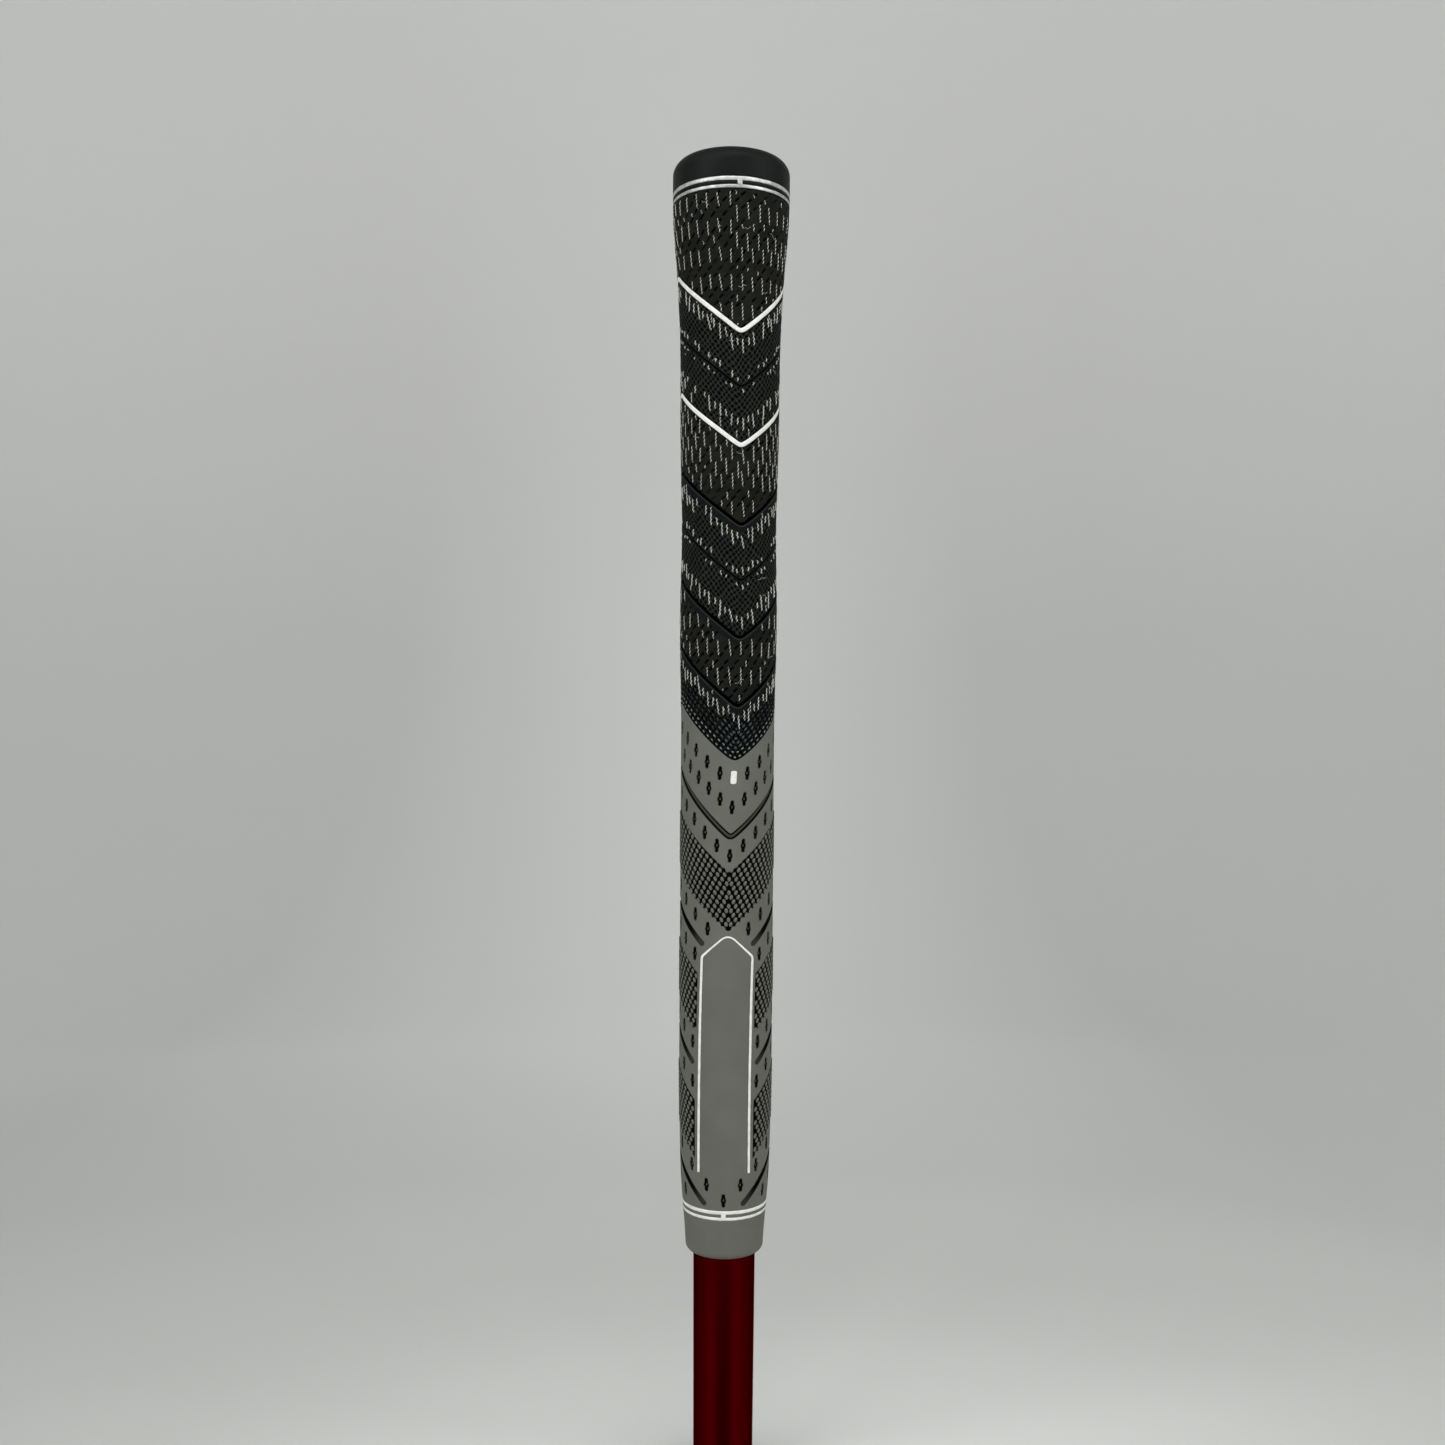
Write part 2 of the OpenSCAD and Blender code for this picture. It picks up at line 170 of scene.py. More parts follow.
def moulded_grey_rubber():
    rubber, place = new_material("moulded_grey_rubber")
    clouds = add(rubber, "TexNoise", {"Vector": place, "Scale": lumps(7.0)})
    cloudy = add(rubber, "MapRange", {0: clouds, 1: 0.35, 2: 0.65})
    skin = add(rubber, "Mix", {0: cloudy, 6: "#5e5f58", 7: "#62635c"}, 2, data_type="RGBA")
    # Where "sunk" is 1 the colour goes near black and the reflection drops: painted shade in the
    # recesses.
    sunk = add(rubber, "Attribute", out="Fac", attribute_name="sunk")
    skin_with_painted_shade = add(rubber, "Mix", {0: sunk, 6: skin, 7: "#050505"}, 2, data_type="RGBA")
    shine = add(rubber, "MapRange", {0: sunk, 3: 0.25, 4: 0.03})
    # Blasting grit leaves pits of about 0.05 mm. They are drawn at 0.14 mm, so that they show.
    grit = add(rubber, "TexNoise", {"Vector": place, "Scale": lumps(0.14), "Detail": 3.0})
    matt = add(rubber, "MapRange", {0: grit, 1: 0.3, 2: 0.7, 3: 0.6, 4: 0.78})
    normal = add(rubber, "Bump", {"Height": grit, "Distance": 0.012 * mm, "Strength": 0.7})
    return shade(rubber, {"Base Color": skin_with_painted_shade, "Roughness": matt, "Normal": normal,
                          "IOR": rubber_ior, "Specular IOR Level": shine})


finishes = {"soft_grey": moulded_grey_rubber()}

# %% [markdown]
# ## Black rubber, plain and corded
#
# The cap and the nets are plain rubber full of carbon black, smooth from a polished mould. The
# corded skin is the same rubber pressed through a woven fabric and then buffed. One shader with
# sliders could be all three, but each is a few nodes, and they differ in what they carry: the
# corded one also knows where its skin is "smooth", where it is painted paler as a highlight with
# some buffing wear, and where it is painted darker as shade.

# %% Moulded and buffed black rubber
# The eye sees near black: a soft broad gloss on the cap, and a rough, brownish, scuffed skin
# where the rubber is corded.
def moulded_black_rubber():
    rubber, place = new_material("moulded_black_rubber")
    clouds = add(rubber, "TexNoise", {"Vector": place, "Scale": lumps(4.0)})
    cloudy = add(rubber, "MapRange", {0: clouds, 1: 0.35, 2: 0.65})
    skin = add(rubber, "Mix", {0: cloudy, 6: "#0b100d", 7: "#0f1411"}, 2, data_type="RGBA")
    fine = add(rubber, "TexNoise", {"Vector": place, "Scale": lumps(0.12), "Detail": 3.0})
    gloss = add(rubber, "MapRange", {0: fine, 1: 0.3, 2: 0.7, 3: 0.42, 4: 0.56})
    normal = add(rubber, "Bump", {"Height": fine, "Distance": 0.008 * mm, "Strength": 0.6})
    return shade(rubber, {"Base Color": skin, "Roughness": gloss, "Normal": normal,
                          "IOR": rubber_ior, "Specular IOR Level": 0.08})


def buffed_corded_rubber():
    rubber, place = new_material("buffed_corded_rubber")
    smooth, worn, sunk = (add(rubber, "Attribute", out="Fac", attribute_name=name)
                          for name in ("smooth", "worn", "sunk"))
    clouds = add(rubber, "TexNoise", {"Vector": place, "Scale": lumps(3.0)})
    colour = add(rubber, "MapRange", {0: clouds, 1: 0.35, 2: 0.65})
    # In turn: the smooth bands' own darker rubber, a painted highlight on lips and knots with some
    # buffing wear, and painted shade in the recesses.
    for share, low, high in ((colour, "#0d110e", "#171812"), (smooth, None, "#080d0b"),
                             (worn, None, "#2d3433"), (sunk, None, "#020202")):
        colour = add(rubber, "Mix", {0: share, 6: low or colour, 7: high}, 2, data_type="RGBA")
    # Recesses lose their reflection too: painted shade.
    shine = add(rubber, "MapRange", {0: sunk, 3: 0.08, 4: 0.0})
    # The buffing wheel's scratches are finer than this, and are drawn at 0.22 mm so that they show.
    scuffs = add(rubber, "TexNoise", {"Vector": place, "Scale": lumps(0.22), "Detail": 4.0,
                                      "Roughness": 0.6})
    rough = add(rubber, "MapRange", {0: scuffs, 1: 0.3, 2: 0.7, 3: 0.55, 4: 0.8})
    strength = add(rubber, "MapRange", {0: smooth, 3: 0.9, 4: 0.15})
    normal = add(rubber, "Bump", {"Height": scuffs, "Distance": 0.05 * mm, "Strength": strength})
    return shade(rubber, {"Base Color": colour, "Roughness": rough, "Normal": normal,
                          "IOR": rubber_ior, "Specular IOR Level": shine})


def net_rubber(name, low, high):
    """Rubber for a net's studs, whose feet get painted shade and whose tops lie between two
    colours.
    """
    rubber, place = new_material(name)
    clouds = add(rubber, "TexNoise", {"Vector": place, "Scale": lumps(1.2)})
    cloudy = add(rubber, "MapRange", {0: clouds, 1: 0.3, 2: 0.7})
    tops = add(rubber, "Mix", {0: cloudy, 6: low, 7: high}, 2, data_type="RGBA")
    sunk = add(rubber, "Attribute", out="Fac", attribute_name="sunk")
    skin = add(rubber, "Mix", {0: sunk, 6: tops, 7: "#030404"}, 2, data_type="RGBA")
    fine = add(rubber, "TexNoise", {"Vector": place, "Scale": lumps(0.12)})
    gloss = add(rubber, "MapRange", {0: fine, 1: 0.3, 2: 0.7, 3: 0.5, 4: 0.62})
    normal = add(rubber, "Bump", {"Height": fine, "Distance": 0.01 * mm, "Strength": 0.5})
    return shade(rubber, {"Base Color": skin, "Roughness": gloss, "Normal": normal,
                          "IOR": rubber_ior, "Specular IOR Level": 0.3})


finishes["black"] = moulded_black_rubber()
finishes["corded"] = buffed_corded_rubber()
finishes["net"] = net_rubber("moulded_net_rubber", "#0b0e0f", "#151a1c")
finishes["net_tip"] = net_rubber("scuffed_net_rubber", "#22292d", "#3a4348")
finishes["net_edge"] = net_rubber("buffed_net_rubber", "#59605f", "#828883")

# %% [markdown]
# ## Cotton cord
#
# The grip's fabric is cotton cord laid in the rubber. Buffing cuts through to it, and what shows
# is short lengths of twisted yarn with black rubber rubbed into the twist. The yarn could be
# painted on the rubber, but light catches its round plies, so it is real geometry further down.
# Its material adds only what is finer than the plies: fibres, and the darkening that "sunk" tells
# it, which is black rubber rubbed into the twist and painted shade where a ply dips and where the
# yarn's ends sink into the rubber.

# %% Twisted cotton
# The eye sees a pale, quite matt thread with a faint bloom of loose fibre, which is the sheen.
# Cotton fibres are 0.02 mm thick. They are drawn at 0.25 mm, the least that shows.
def cotton(name, light, dark):
    cloth, place = new_material(name)
    fibres = add(cloth, "TexNoise", {"Vector": place, "Scale": lumps(0.25), "Detail": 4.0,
                                     "Roughness": 0.65})
    lit = add(cloth, "MapRange", {0: fibres, 1: 0.3, 2: 0.62})
    clean = add(cloth, "Mix", {0: lit, 6: dark, 7: light}, 2, data_type="RGBA")
    patches = add(cloth, "TexNoise", {"Vector": place, "Scale": lumps(2.5)})
    worn = add(cloth, "MapRange", {0: patches, 1: 0.3, 2: 0.7, 4: 0.35})
    faded = add(cloth, "Mix", {0: worn, 6: clean, 7: dark}, 2, data_type="RGBA")
    # Darkened by rubbed-in rubber, and by painted shade where a ply dips and where the ends sink.
    sunk = add(cloth, "Attribute", out="Fac", attribute_name="sunk")
    stained_and_shaded = add(cloth, "Mix", {0: sunk, 6: faded, 7: "#15130f"}, 2, data_type="RGBA")
    rough = add(cloth, "MapRange", {0: fibres, 1: 0.3, 2: 0.7, 3: 0.8, 4: 0.95})
    normal = add(cloth, "Bump", {"Height": fibres, "Distance": 0.05 * mm, "Strength": 0.8})
    return shade(cloth, {"Base Color": stained_and_shaded, "Roughness": rough, "Normal": normal,
                         "Sheen Weight": 0.25, "Sheen Roughness": 0.5})


finishes["yarn"] = cotton("twisted_cotton_yarn", "#dadad2", "#9a9890")
finishes["canvas"] = cotton("woven_cotton_canvas", "#b9b3a1", "#938d7c")

# %% [markdown]
# ## Paint, lacquer and tape
#
# White and silver enamel are wiped into the moulded grooves by hand, so they lie a hair below the
# rubber. The shaft has a candy finish, a clear red over bright metal flake, baked and polished.
# It could be built in layers, with a coat over a metal, but one red metal with a tinted edge
# gives the same deep colour and two long sheens with less to go wrong. The tape is creped paper.

# %% Enamel, lacquer and tape
# The eye sees chalky white and dull silver with patches where the wiping thinned them, a dark red
# mirror blurred along the shaft, and, on the hidden tape, fine ridges across.
def wiped_enamel(name, pale, deep, metallic=0.0):
    enamel, place = new_material(name)
    patches = add(enamel, "TexNoise", {"Vector": place, "Scale": lumps(1.6), "Detail": 4.0})
    thin = add(enamel, "MapRange", {0: patches, 1: 0.3, 2: 0.62})
    colour = add(enamel, "Mix", {0: thin, 6: deep, 7: pale}, 2, data_type="RGBA")
    fine = add(enamel, "TexNoise", {"Vector": place, "Scale": lumps(0.2)})
    gloss = add(enamel, "MapRange", {0: fine, 1: 0.3, 2: 0.7, 3: 0.36, 4: 0.52})
    normal = add(enamel, "Bump", {"Height": fine, "Distance": 0.012 * mm, "Strength": 0.5})
    return shade(enamel, {"Base Color": colour, "Roughness": gloss, "Normal": normal,
                          "Metallic": metallic})


def candy_red_lacquer():
    lacquer, place = new_material("sprayed_candy_red_lacquer")
    # Metal flake is about 0.05 mm across, and is drawn at 0.2 mm so that it shows.
    flake = add(lacquer, "TexNoise", {"Vector": place, "Scale": lumps(0.2)})
    bright = add(lacquer, "MapRange", {0: flake, 1: 0.35, 2: 0.65})
    colour = add(lacquer, "Mix", {0: bright, 6: "#420003", 7: "#4b0004"}, 2, data_type="RGBA")
    ripples = add(lacquer, "TexNoise", {"Vector": place, "Scale": lumps(0.6)})
    soft = add(lacquer, "MapRange", {0: ripples, 1: 0.3, 2: 0.7, 3: 0.2, 4: 0.27})
    return shade(lacquer, {"Base Color": colour, "Roughness": soft, "Metallic": 1.0,
                           "Specular Tint": "#a80608"})


def creped_paper_tape():
    tape, place = new_material("creped_paper_tape")
    ridge_mm = 0.9
    ridges = add(tape, "TexWave", {"Vector": place, "Scale": lumps(ridge_mm) / full_turn,
                                   "Distortion": 6.0, "Detail": 3.0}, "Fac", bands_direction="Z")
    colour = add(tape, "Mix", {0: ridges, 6: "#c9b88f", 7: "#b7a67e"}, 2, data_type="RGBA")
    rough = add(tape, "MapRange", {0: ridges, 3: 0.7, 4: 0.85})
    normal = add(tape, "Bump", {"Height": ridges, "Distance": 0.05 * mm})
    return shade(tape, {"Base Color": colour, "Roughness": rough, "Normal": normal})


finishes["white"] = wiped_enamel("wiped_white_enamel", "#eaeae6", "#d5d5d0")
finishes["silver"] = wiped_enamel("wiped_silver_enamel", "#c9cbc8", "#9a9c99", metallic=0.75)
finishes["lacquer"] = candy_red_lacquer()
finishes["tape"] = creped_paper_tape()

# %% [markdown]
# ## The stage
#
# A sheet of pale paper could be a flat floor and a flat wall, but this one is a bowl, a floor
# that bends up into a round wall, so that the grip can be looked at from every side. Two big soft
# lamps in front and one high above the camera light the rubber evenly. More light and shade is
# painted on the paper itself: a pool of light by the grip, a beam up the wall behind it, paler
# wings to the sides and a painted shade to the left. The lacquer's two long sheens come from the
# floor: in front of the grip, where only the lacquer sees it, the paper is painted with two fields
# of light beside a painted shadow, because a lamp bright enough for them would wash out the black
# rubber.

# %% Floor, wall and lamps
def turned_on_lathe(profile, around):
    """Points (rings, around, 3) of a profile of radii and heights turned about the Z axis."""
    radius, height = np.array(profile, float).T
    angle = np.linspace(0, 2 * np.pi, around, endpoint=False)
    return np.stack([radius[:, None] * np.sin(angle), -radius[:, None] * np.cos(angle),
                     np.repeat(height[:, None], around, 1)], -1)


def quads(rows, columns, closed=True):
    """Faces of a grid of points, as indices, facing away from the axis as rows go up."""
    row = np.arange(rows - 1)[:, None] * columns
    column = np.arange(columns if closed else columns - 1)[None, :]
    after = (column + 1) % columns
    return np.stack([row + column, row + after, row + columns + after, row + columns + column],
                    -1).reshape(-1, 4)


def mesh_of(name, points, faces, material):
    """A smooth mesh object from points in metres and faces of equal size."""
    points, faces = np.asarray(points, np.float32).reshape(-1, 3), np.asarray(faces, np.int32)
    starts = np.arange(0, faces.size, faces.shape[1], dtype=np.int32)
    mesh = bpy.data.meshes.new(name)
    mesh.vertices.add(len(points))
    mesh.vertices.foreach_set("co", points.ravel())
    mesh.loops.add(faces.size)
    mesh.loops.foreach_set("vertex_index", faces.ravel())
    mesh.polygons.add(len(faces))
    mesh.polygons.foreach_set("loop_start", starts)
    mesh.update(calc_edges=True)
    mesh.validate()
    mesh.shade_smooth()
    mesh.materials.append(material)
    thing = bpy.data.objects.new(name, mesh)
    scene.collection.objects.link(thing)
    print(f"{name}: {len(points)} points, {len(faces)} faces")
    return thing


# Painted light and shade on the paper, by distance in metres from the grip's foot, and on its
# front part by bearing in radians from straight ahead: a painted shadow between two painted
# fields of light.
pool_tones = (
    (0.0, "#d2d3d0"), (0.045, "#cccdca"), (0.07, "#c6c7c4"), (0.1, "#bdbebb"), (0.135, "#b8b9b6"),
    (0.19, "#b6b7b4"), (0.24, "#b3b4b2"), (0.33, "#b6b7b4"), (0.46, "#bdbebb"), (0.65, "#c0c1be"),
    (0.9, "#c4c5c2"), (1.1, "#c8c9c7"), (1.32, "#d3d3d2"), (1.475, "#dddddc"), (1.63, "#e7e7e6"))
front_tones = ((0.0, "#8a8a88"), (0.3, "#9a9a98"), (0.6, "#e6e6e4"), (0.95, "#f2f2f0"),
               (1.3, "#c4c4c2"))


def paper_with_painted_light():
    """Matt paper with painted light and shade: a pool by the grip, a beam up the wall behind it,
    and front fields.
    """
    paper, place = new_material("backdrop_paper")
    x = add(paper, "SeparateXYZ", {"Vector": place}, "X")
    pool = add(paper, "VectorMath", {0: place, 1: (0.6, 1.0, 1.0), 2: (-0.012, 0.0, 0.0)},
               operation="MULTIPLY_ADD")
    away = add(paper, "VectorMath", {0: pool}, "Value", operation="LENGTH")
    aside = add(paper, "Math", {0: x}, operation="ABSOLUTE")
    ahead = add(paper, "MapRange", {0: x.node.outputs["Y"], 1: -1.0, 3: 1.0, 4: -1.0})
    bearing = add(paper, "Math", {0: aside, 1: ahead}, operation="ARCTAN2")
    pool_light, front = [
        add(paper, "ValToRGB", {0: add(paper, "MapRange", {0: value, 2: stops[-1][0]})})
        for value, stops in ((away, pool_tones), (bearing, front_tones))]
    for ramp, stops in ((pool_light, pool_tones), (front, front_tones)):
        elements = ramp.node.color_ramp.elements
        while len(elements) < len(stops):
            elements.new(0.5)
        for element, (where, colour) in zip(elements, stops):
            element.position, element.color = where / stops[-1][0], linear(colour)

    # Three patches of painted light and shade: a beam, two pale wings and a dimmed left. Each is a
    # share across, times one or two shares by distance.
    beside_beam = add(paper, "Math", {0: x, 1: 0.03}, operation="ADD")
    off_beam = add(paper, "Math", {0: beside_beam}, operation="ABSOLUTE")
    shares = []
    for across, ways_away in (
            ((off_beam, 0.0, 0.28, 0.5, 0.0), ((0.08, 0.55, 0.0, 1.0), (1.15, 1.6, 1.0, 0.3))),
            ((aside, 0.38, 0.8, 0.0, 0.3), ((0.9, 1.35, 0.0, 1.0),)),
            ((x, -0.03, -0.3, 0.0, 0.3), ((0.45, 0.2, 0.0, 1.0),))):
        share = add(paper, "MapRange", dict(enumerate(across)))
        for ways in ways_away:
            near = add(paper, "MapRange", dict(enumerate((away,) + ways)))
            share = add(paper, "Math", {0: share, 1: near}, operation="MULTIPLY")
        shares.append(share)
    beam, wings, left = shares
    light = add(paper, "Math", {0: beam, 1: wings}, operation="MAXIMUM")
    lit = add(paper, "Mix", {0: light, 6: pool_light, 7: "#f3f4f1"}, 2, data_type="RGBA")
    dimmed = add(paper, "Mix", {0: left, 6: lit, 7: "#8d8e8c"}, 2, data_type="RGBA")
    behind = add(paper, "MapRange", {0: bearing, 1: 1.25, 2: 1.5})
    close_by = add(paper, "MapRange", {0: away, 1: 0.09, 2: 0.16})
    open_side = add(paper, "Math", {0: behind, 1: close_by}, operation="MAXIMUM")
    colour = add(paper, "Mix", {0: open_side, 6: front, 7: dimmed}, 2, data_type="RGBA")
    return shade(paper, {"Base Color": colour, "Roughness": 0.95})


floor_r, bend_r, wall_top, around = 0.55, 0.75, 2.2, 96
bend = [(floor_r + bend_r * math.sin(a), bend_r * (1 - math.cos(a)))
        for a in np.radians(np.linspace(0, 90, 25))]
sweep = turned_on_lathe([(0.001, 0), (0.2, 0)] + bend + [(floor_r + bend_r, wall_top)], around)
gap_under_shaft = [0, 0, 0.2 * mm]
backdrop = mesh_of("backdrop", sweep - gap_under_shaft, quads(len(sweep), around), paper_with_painted_light())
backdrop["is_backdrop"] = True


def soft_lamp(name, azimuth, height, distance, size, power):
    """A soft lamp that faces the middle of the grip. Azimuth 0 is in front, and 90 to the right."""
    lamp = bpy.data.objects.new(name, bpy.data.lights.new(name, "AREA"))
    lamp.data.shape = "RECTANGLE"
    lamp.data.size, lamp.data.size_y = size
    lamp.data.energy = power
    a = math.radians(azimuth)
    spot = np.array([distance * math.sin(a), -distance * math.cos(a), height])
    towards = np.array([0, 0, aim_height_mm * mm]) - spot
    forward = towards / np.linalg.norm(towards)
    side = np.cross(forward, [0, 0, 1])
    side /= np.linalg.norm(side)
    top = np.cross(side, forward)
    lamp.matrix_world = Matrix([[side[i], top[i], -forward[i], spot[i]] for i in range(3)]
                               + [[0, 0, 0, 1]])
    lamp.visible_camera = False
    scene.collection.objects.link(lamp)


soft_lamp("lamp_left", -50, 0.75, 0.85, (0.6, 0.6), 4.4)
soft_lamp("lamp_right", 58, 0.75, 0.85, (0.6, 0.6), 3.6)
soft_lamp("lamp_above", 5, 1.2, 0.75, (0.9, 0.7), 7.5)
world = bpy.data.worlds.new("room")
world.use_nodes = True
fill(world.node_tree.nodes["Background"], {"Color": "#c8ccd0", "Strength": 0.55})
scene.world = world

# %% [markdown]
# ## The shape under the pattern
#
# Everything on the grip is drawn on one surface of revolution. It could be traced as a curve, but
# a function serves every later step: a smooth curve through the diameters that a calliper would
# read. A second function says how far the pattern has turned, because a grip is pushed on by hand
# and comes out slightly twisted. Heights are counted from the grip's mouth, and angles from the
# line that joins the chevrons' tips.

# %% Outline and twist
mouth_z = round(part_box("soft_sleeve")[0].z / mm, 3)
cap_z = round(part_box("end_cap")[1].z / mm, 3)
grip_length = cap_z - mouth_z
cap_height = 11
cap_seam = grip_length - cap_height
# Diameters in mm, and turns of the pattern in degrees, at heights in mm above the mouth
GIRTH = np.array([
    [0, 18.9], [6, 19.7], [12, 20.7], [18, 21.6], [26, 22.2], [36, 22.5], [48, 22.8], [78, 22.9],
    [114, 22.9], [132, 23.0], [154, 23.8], [177, 23.2], [200, 24.2], [222, 24.6], [237, 26.0],
    [252, 28.3], [260, 28.7], [280, 28.7]])
TURN = np.array([
    [0, -1.2], [34, -1.8], [60, -0.4], [79, 2], [98, 3.4], [109, 5.6], [121, 8.6], [134, 11.6],
    [150, 13], [177, 14.3], [196, 13], [223, 11.6], [258, 8], [280, 8]])


def smooth_curve(table, height):
    """Values at heights on the smooth curve through a table of heights and values."""
    x, y = table.T
    here = np.arange(len(x))
    low, high = np.maximum(here - 1, 0), np.minimum(here + 1, len(x) - 1)
    slope = (y[high] - y[low]) / (x[high] - x[low])
    i = np.clip(np.searchsorted(x, height, side="right") - 1, 0, len(x) - 2)
    length = x[i + 1] - x[i]
    t = (height - x[i]) / length
    return ((1 + 2 * t) * (1 - t) ** 2 * y[i] + t * t * (3 - 2 * t) * y[i + 1]
            + t * (1 - t) ** 2 * length * slope[i] - t * t * (1 - t) * length * slope[i + 1])


def radius_at(height):
    """Radius of the rubber in mm at heights above the mouth."""
    return smooth_curve(GIRTH, height) / 2


def on_grip(phi, height, lift=0.0):
    """Points in metres on the grip, or proud of it by lift mm."""
    angle = np.radians(phi + smooth_curve(TURN, height))
    r = radius_at(height) + lift
    return np.stack([r * np.sin(angle), -r * np.cos(angle), height + mouth_z], -1) * mm


def eased(t):
    """0 below 0, 1 above 1, and a soft step between."""
    u = np.clip(t, 0, 1)
    return u * u * (3 - 2 * u)


cap_across = 2 * float(radius_at(np.array(cap_seam)))
print("grip is", round(grip_length, 2), "mm long and", round(cap_across, 2), "mm across at the cap")

# %% [markdown]
# ## Chevrons
#
# The mould's grooves and stripes are chevrons: each climbs in straight arms from a small round
# tip at the front to a round peak at each side, and comes down to a second tip at the back. Each
# could be drawn as a curve and wrapped round, but all of them are one rule, so one function gives
# a chevron's height at any angle. How far it climbs changes a little along the grip. A stroke of
# even width needs its distance square to the arm, so the slope is worked out too.

# %% Chevron lines
# Degrees over which a tip is round, and how far in mm a chevron climbs by the height of its tip
tip_round, joint_round = 4.0, 8.0
RISES = np.array([
    [40, 16], [72, 15], [103, 15.8], [109, 14.2], [116, 13.2], [121, 13.5], [134, 14.3],
    [150, 14], [178, 13.3], [196, 13.5], [223, 14.8]])
joint_tip = 121.0


def climb(phi, tip, rounding=tip_round):
    """Height in mm that a chevron has climbed at angles phi from its tip."""
    m = np.mod(phi, 180.0)
    d = np.minimum(m, 180.0 - m)

    def arm(x):
        return np.sqrt(x * x + rounding ** 2) - rounding

    halfway = arm(45.0)
    share = np.where(d < 45, arm(d), 2 * halfway - arm(90.0 - d)) / (2 * halfway)
    return np.interp(tip, *RISES.T) * share


def joint_line(phi):
    """Heights of the joint between the two rubbers, whose tips are rounder."""
    return joint_tip + climb(phi, joint_tip, joint_round)


def followed(phi, height):
    """The tip of the chevron that passes through a point, closing in on it from a rough guess."""
    half_a_climb = 7.0
    return height - climb(phi, height - climb(phi, height - half_a_climb))


def steepness(phi, height, tip):
    """How much taller than wide an even stroke is drawn where its chevron climbs."""
    run = np.radians(1.0) * radius_at(height)
    slope = (climb(phi + 0.5, tip) - climb(phi - 0.5, tip)) / run
    return np.sqrt(1 + slope ** 2)


def from_chevron(phi, height, tip):
    """Distance in mm above a chevron's line, square to it."""
    return (height - tip - climb(phi, tip)) / steepness(phi, height, tip)


def inside(distance, half, wall=0.12):
    """1 within half mm of a line and 0 outside, with a wall of the given width."""
    return 1 - eased((np.abs(distance) - (half - wall)) / wall)


def wrapped(degrees):
    """The same angles, from -180 to 180."""
    return np.mod(degrees + 180.0, 360.0) - 180.0


joint_climb = float(climb(np.array(90.0), joint_tip, joint_round))
print("the joint climbs", round(joint_climb, 1), "mm from its tips to its peaks")

# %% [markdown]
# ## A sleeve as a grid
#
# A moulded pattern could be cut with booleans, but those leave long thin faces that shade badly.
# Here a sleeve is one grid of points, 520 or 600 round the grip. Its rows aren't level: they
# follow the chevrons, squeezed close at the edge of each groove, so that a groove comes out clean
# with no stair-steps. Each point is then pushed in by the depth of whatever pattern it lies in.

# %% Grids that follow the chevrons
def rows_between(knots, spacing):
    """Heights of all rows: knots is a list of height curves from low to high, and spacing the
    greatest distance between rows, one number for each gap between knots."""
    rows = [knots[0]]
    for low, high, step in zip(knots[:-1], knots[1:], spacing):
        count = max(1, math.ceil(float(np.max(high - low)) / step))
        rows += [low + (high - low) * k / count for k in range(1, count + 1)]
    return np.array(rows)


def rising(knots, least=0.01):
    """Keeps each height curve at or above the one before it."""
    for k in range(1, len(knots)):
        knots[k] = np.maximum(knots[k], knots[k - 1] + least)
    return knots


def groove_knots(phi, tip, half):
    """Four height curves at the lips and walls of a groove."""
    middle = tip + climb(phi, tip)
    tall = steepness(phi, middle, tip)
    lip, foot = half + 0.04, half - 0.16
    return [middle + offset * tall for offset in (-lip, -foot, foot, lip)]


def store(thing, name, values):
    """Keeps a number at each point of a mesh, for its material."""
    attribute = thing.data.attributes.new(name, "FLOAT", "POINT")
    attribute.data.foreach_set("value", np.ascontiguousarray(values, np.float32).ravel())


def belongs(thing, slot, stands_for=None):
    """Says that a piece rides on the grip and what it replaces. The slot is not used."""
    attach(thing, "root")
    if stands_for:
        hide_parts(stands_for)
    return thing


def sleeve_piece(name, phi, height, lift, material, slot, stands_for, **numbers):
    """A mesh from a grid of heights and lifts, unrolled in its map, with its material's numbers."""
    points = on_grip(phi[None, :], height, lift)
    rows, columns = height.shape
    thing = mesh_of(name, points, quads(rows, columns), material)
    corner = np.empty(len(thing.data.loops), np.int32)
    thing.data.loops.foreach_get("vertex_index", corner)
    corner = corner.reshape(-1, 4)
    u = (corner % columns) / columns
    u[:, 1:3] = u[:, :1] + 1 / columns
    v = (corner // columns) / (rows - 1)
    unrolled = thing.data.uv_layers.new(name="OFBake")
    unrolled.uv.foreach_set("vector", np.stack([u, v], -1).astype(np.float32).ravel())
    for key, values in numbers.items():
        store(thing, key, values)
    return belongs(thing, slot, stands_for)


def ripple(phi, height, size_mm, seed, waves=9):
    """Soft random waves from -1 to 1, about size_mm long, that close round the grip."""
    chance = np.random.default_rng(seed)
    total = np.zeros(np.broadcast(phi, height).shape)
    round_grip_mm, spread = 72, 1.6
    for _ in range(waves):
        turns = round(chance.normal(0, round_grip_mm / size_mm / spread))
        upward = chance.normal(0, 2 * np.pi / size_mm / spread)
        total += np.cos(np.radians(phi) * turns + height * upward + chance.uniform(0, full_turn))
    return total / math.sqrt(waves * 2)

# %% [markdown]
# ## The lower hand
#
# Grey rubber with four chevron grooves, three bands of net, rows of darts, and a bare panel at
# the front. The groove that runs all round has a raised rib on its floor, so its two edges read
# as fine dark lines. Grooves and net stop short of the panel, the grooves with round ends. A
# picture of the pattern could drive a displacement, but a picture blurs at the walls. Here each
# kind of cut is a function of a point's place, in mm, and gives a depth and the shade painted
# into the cut.

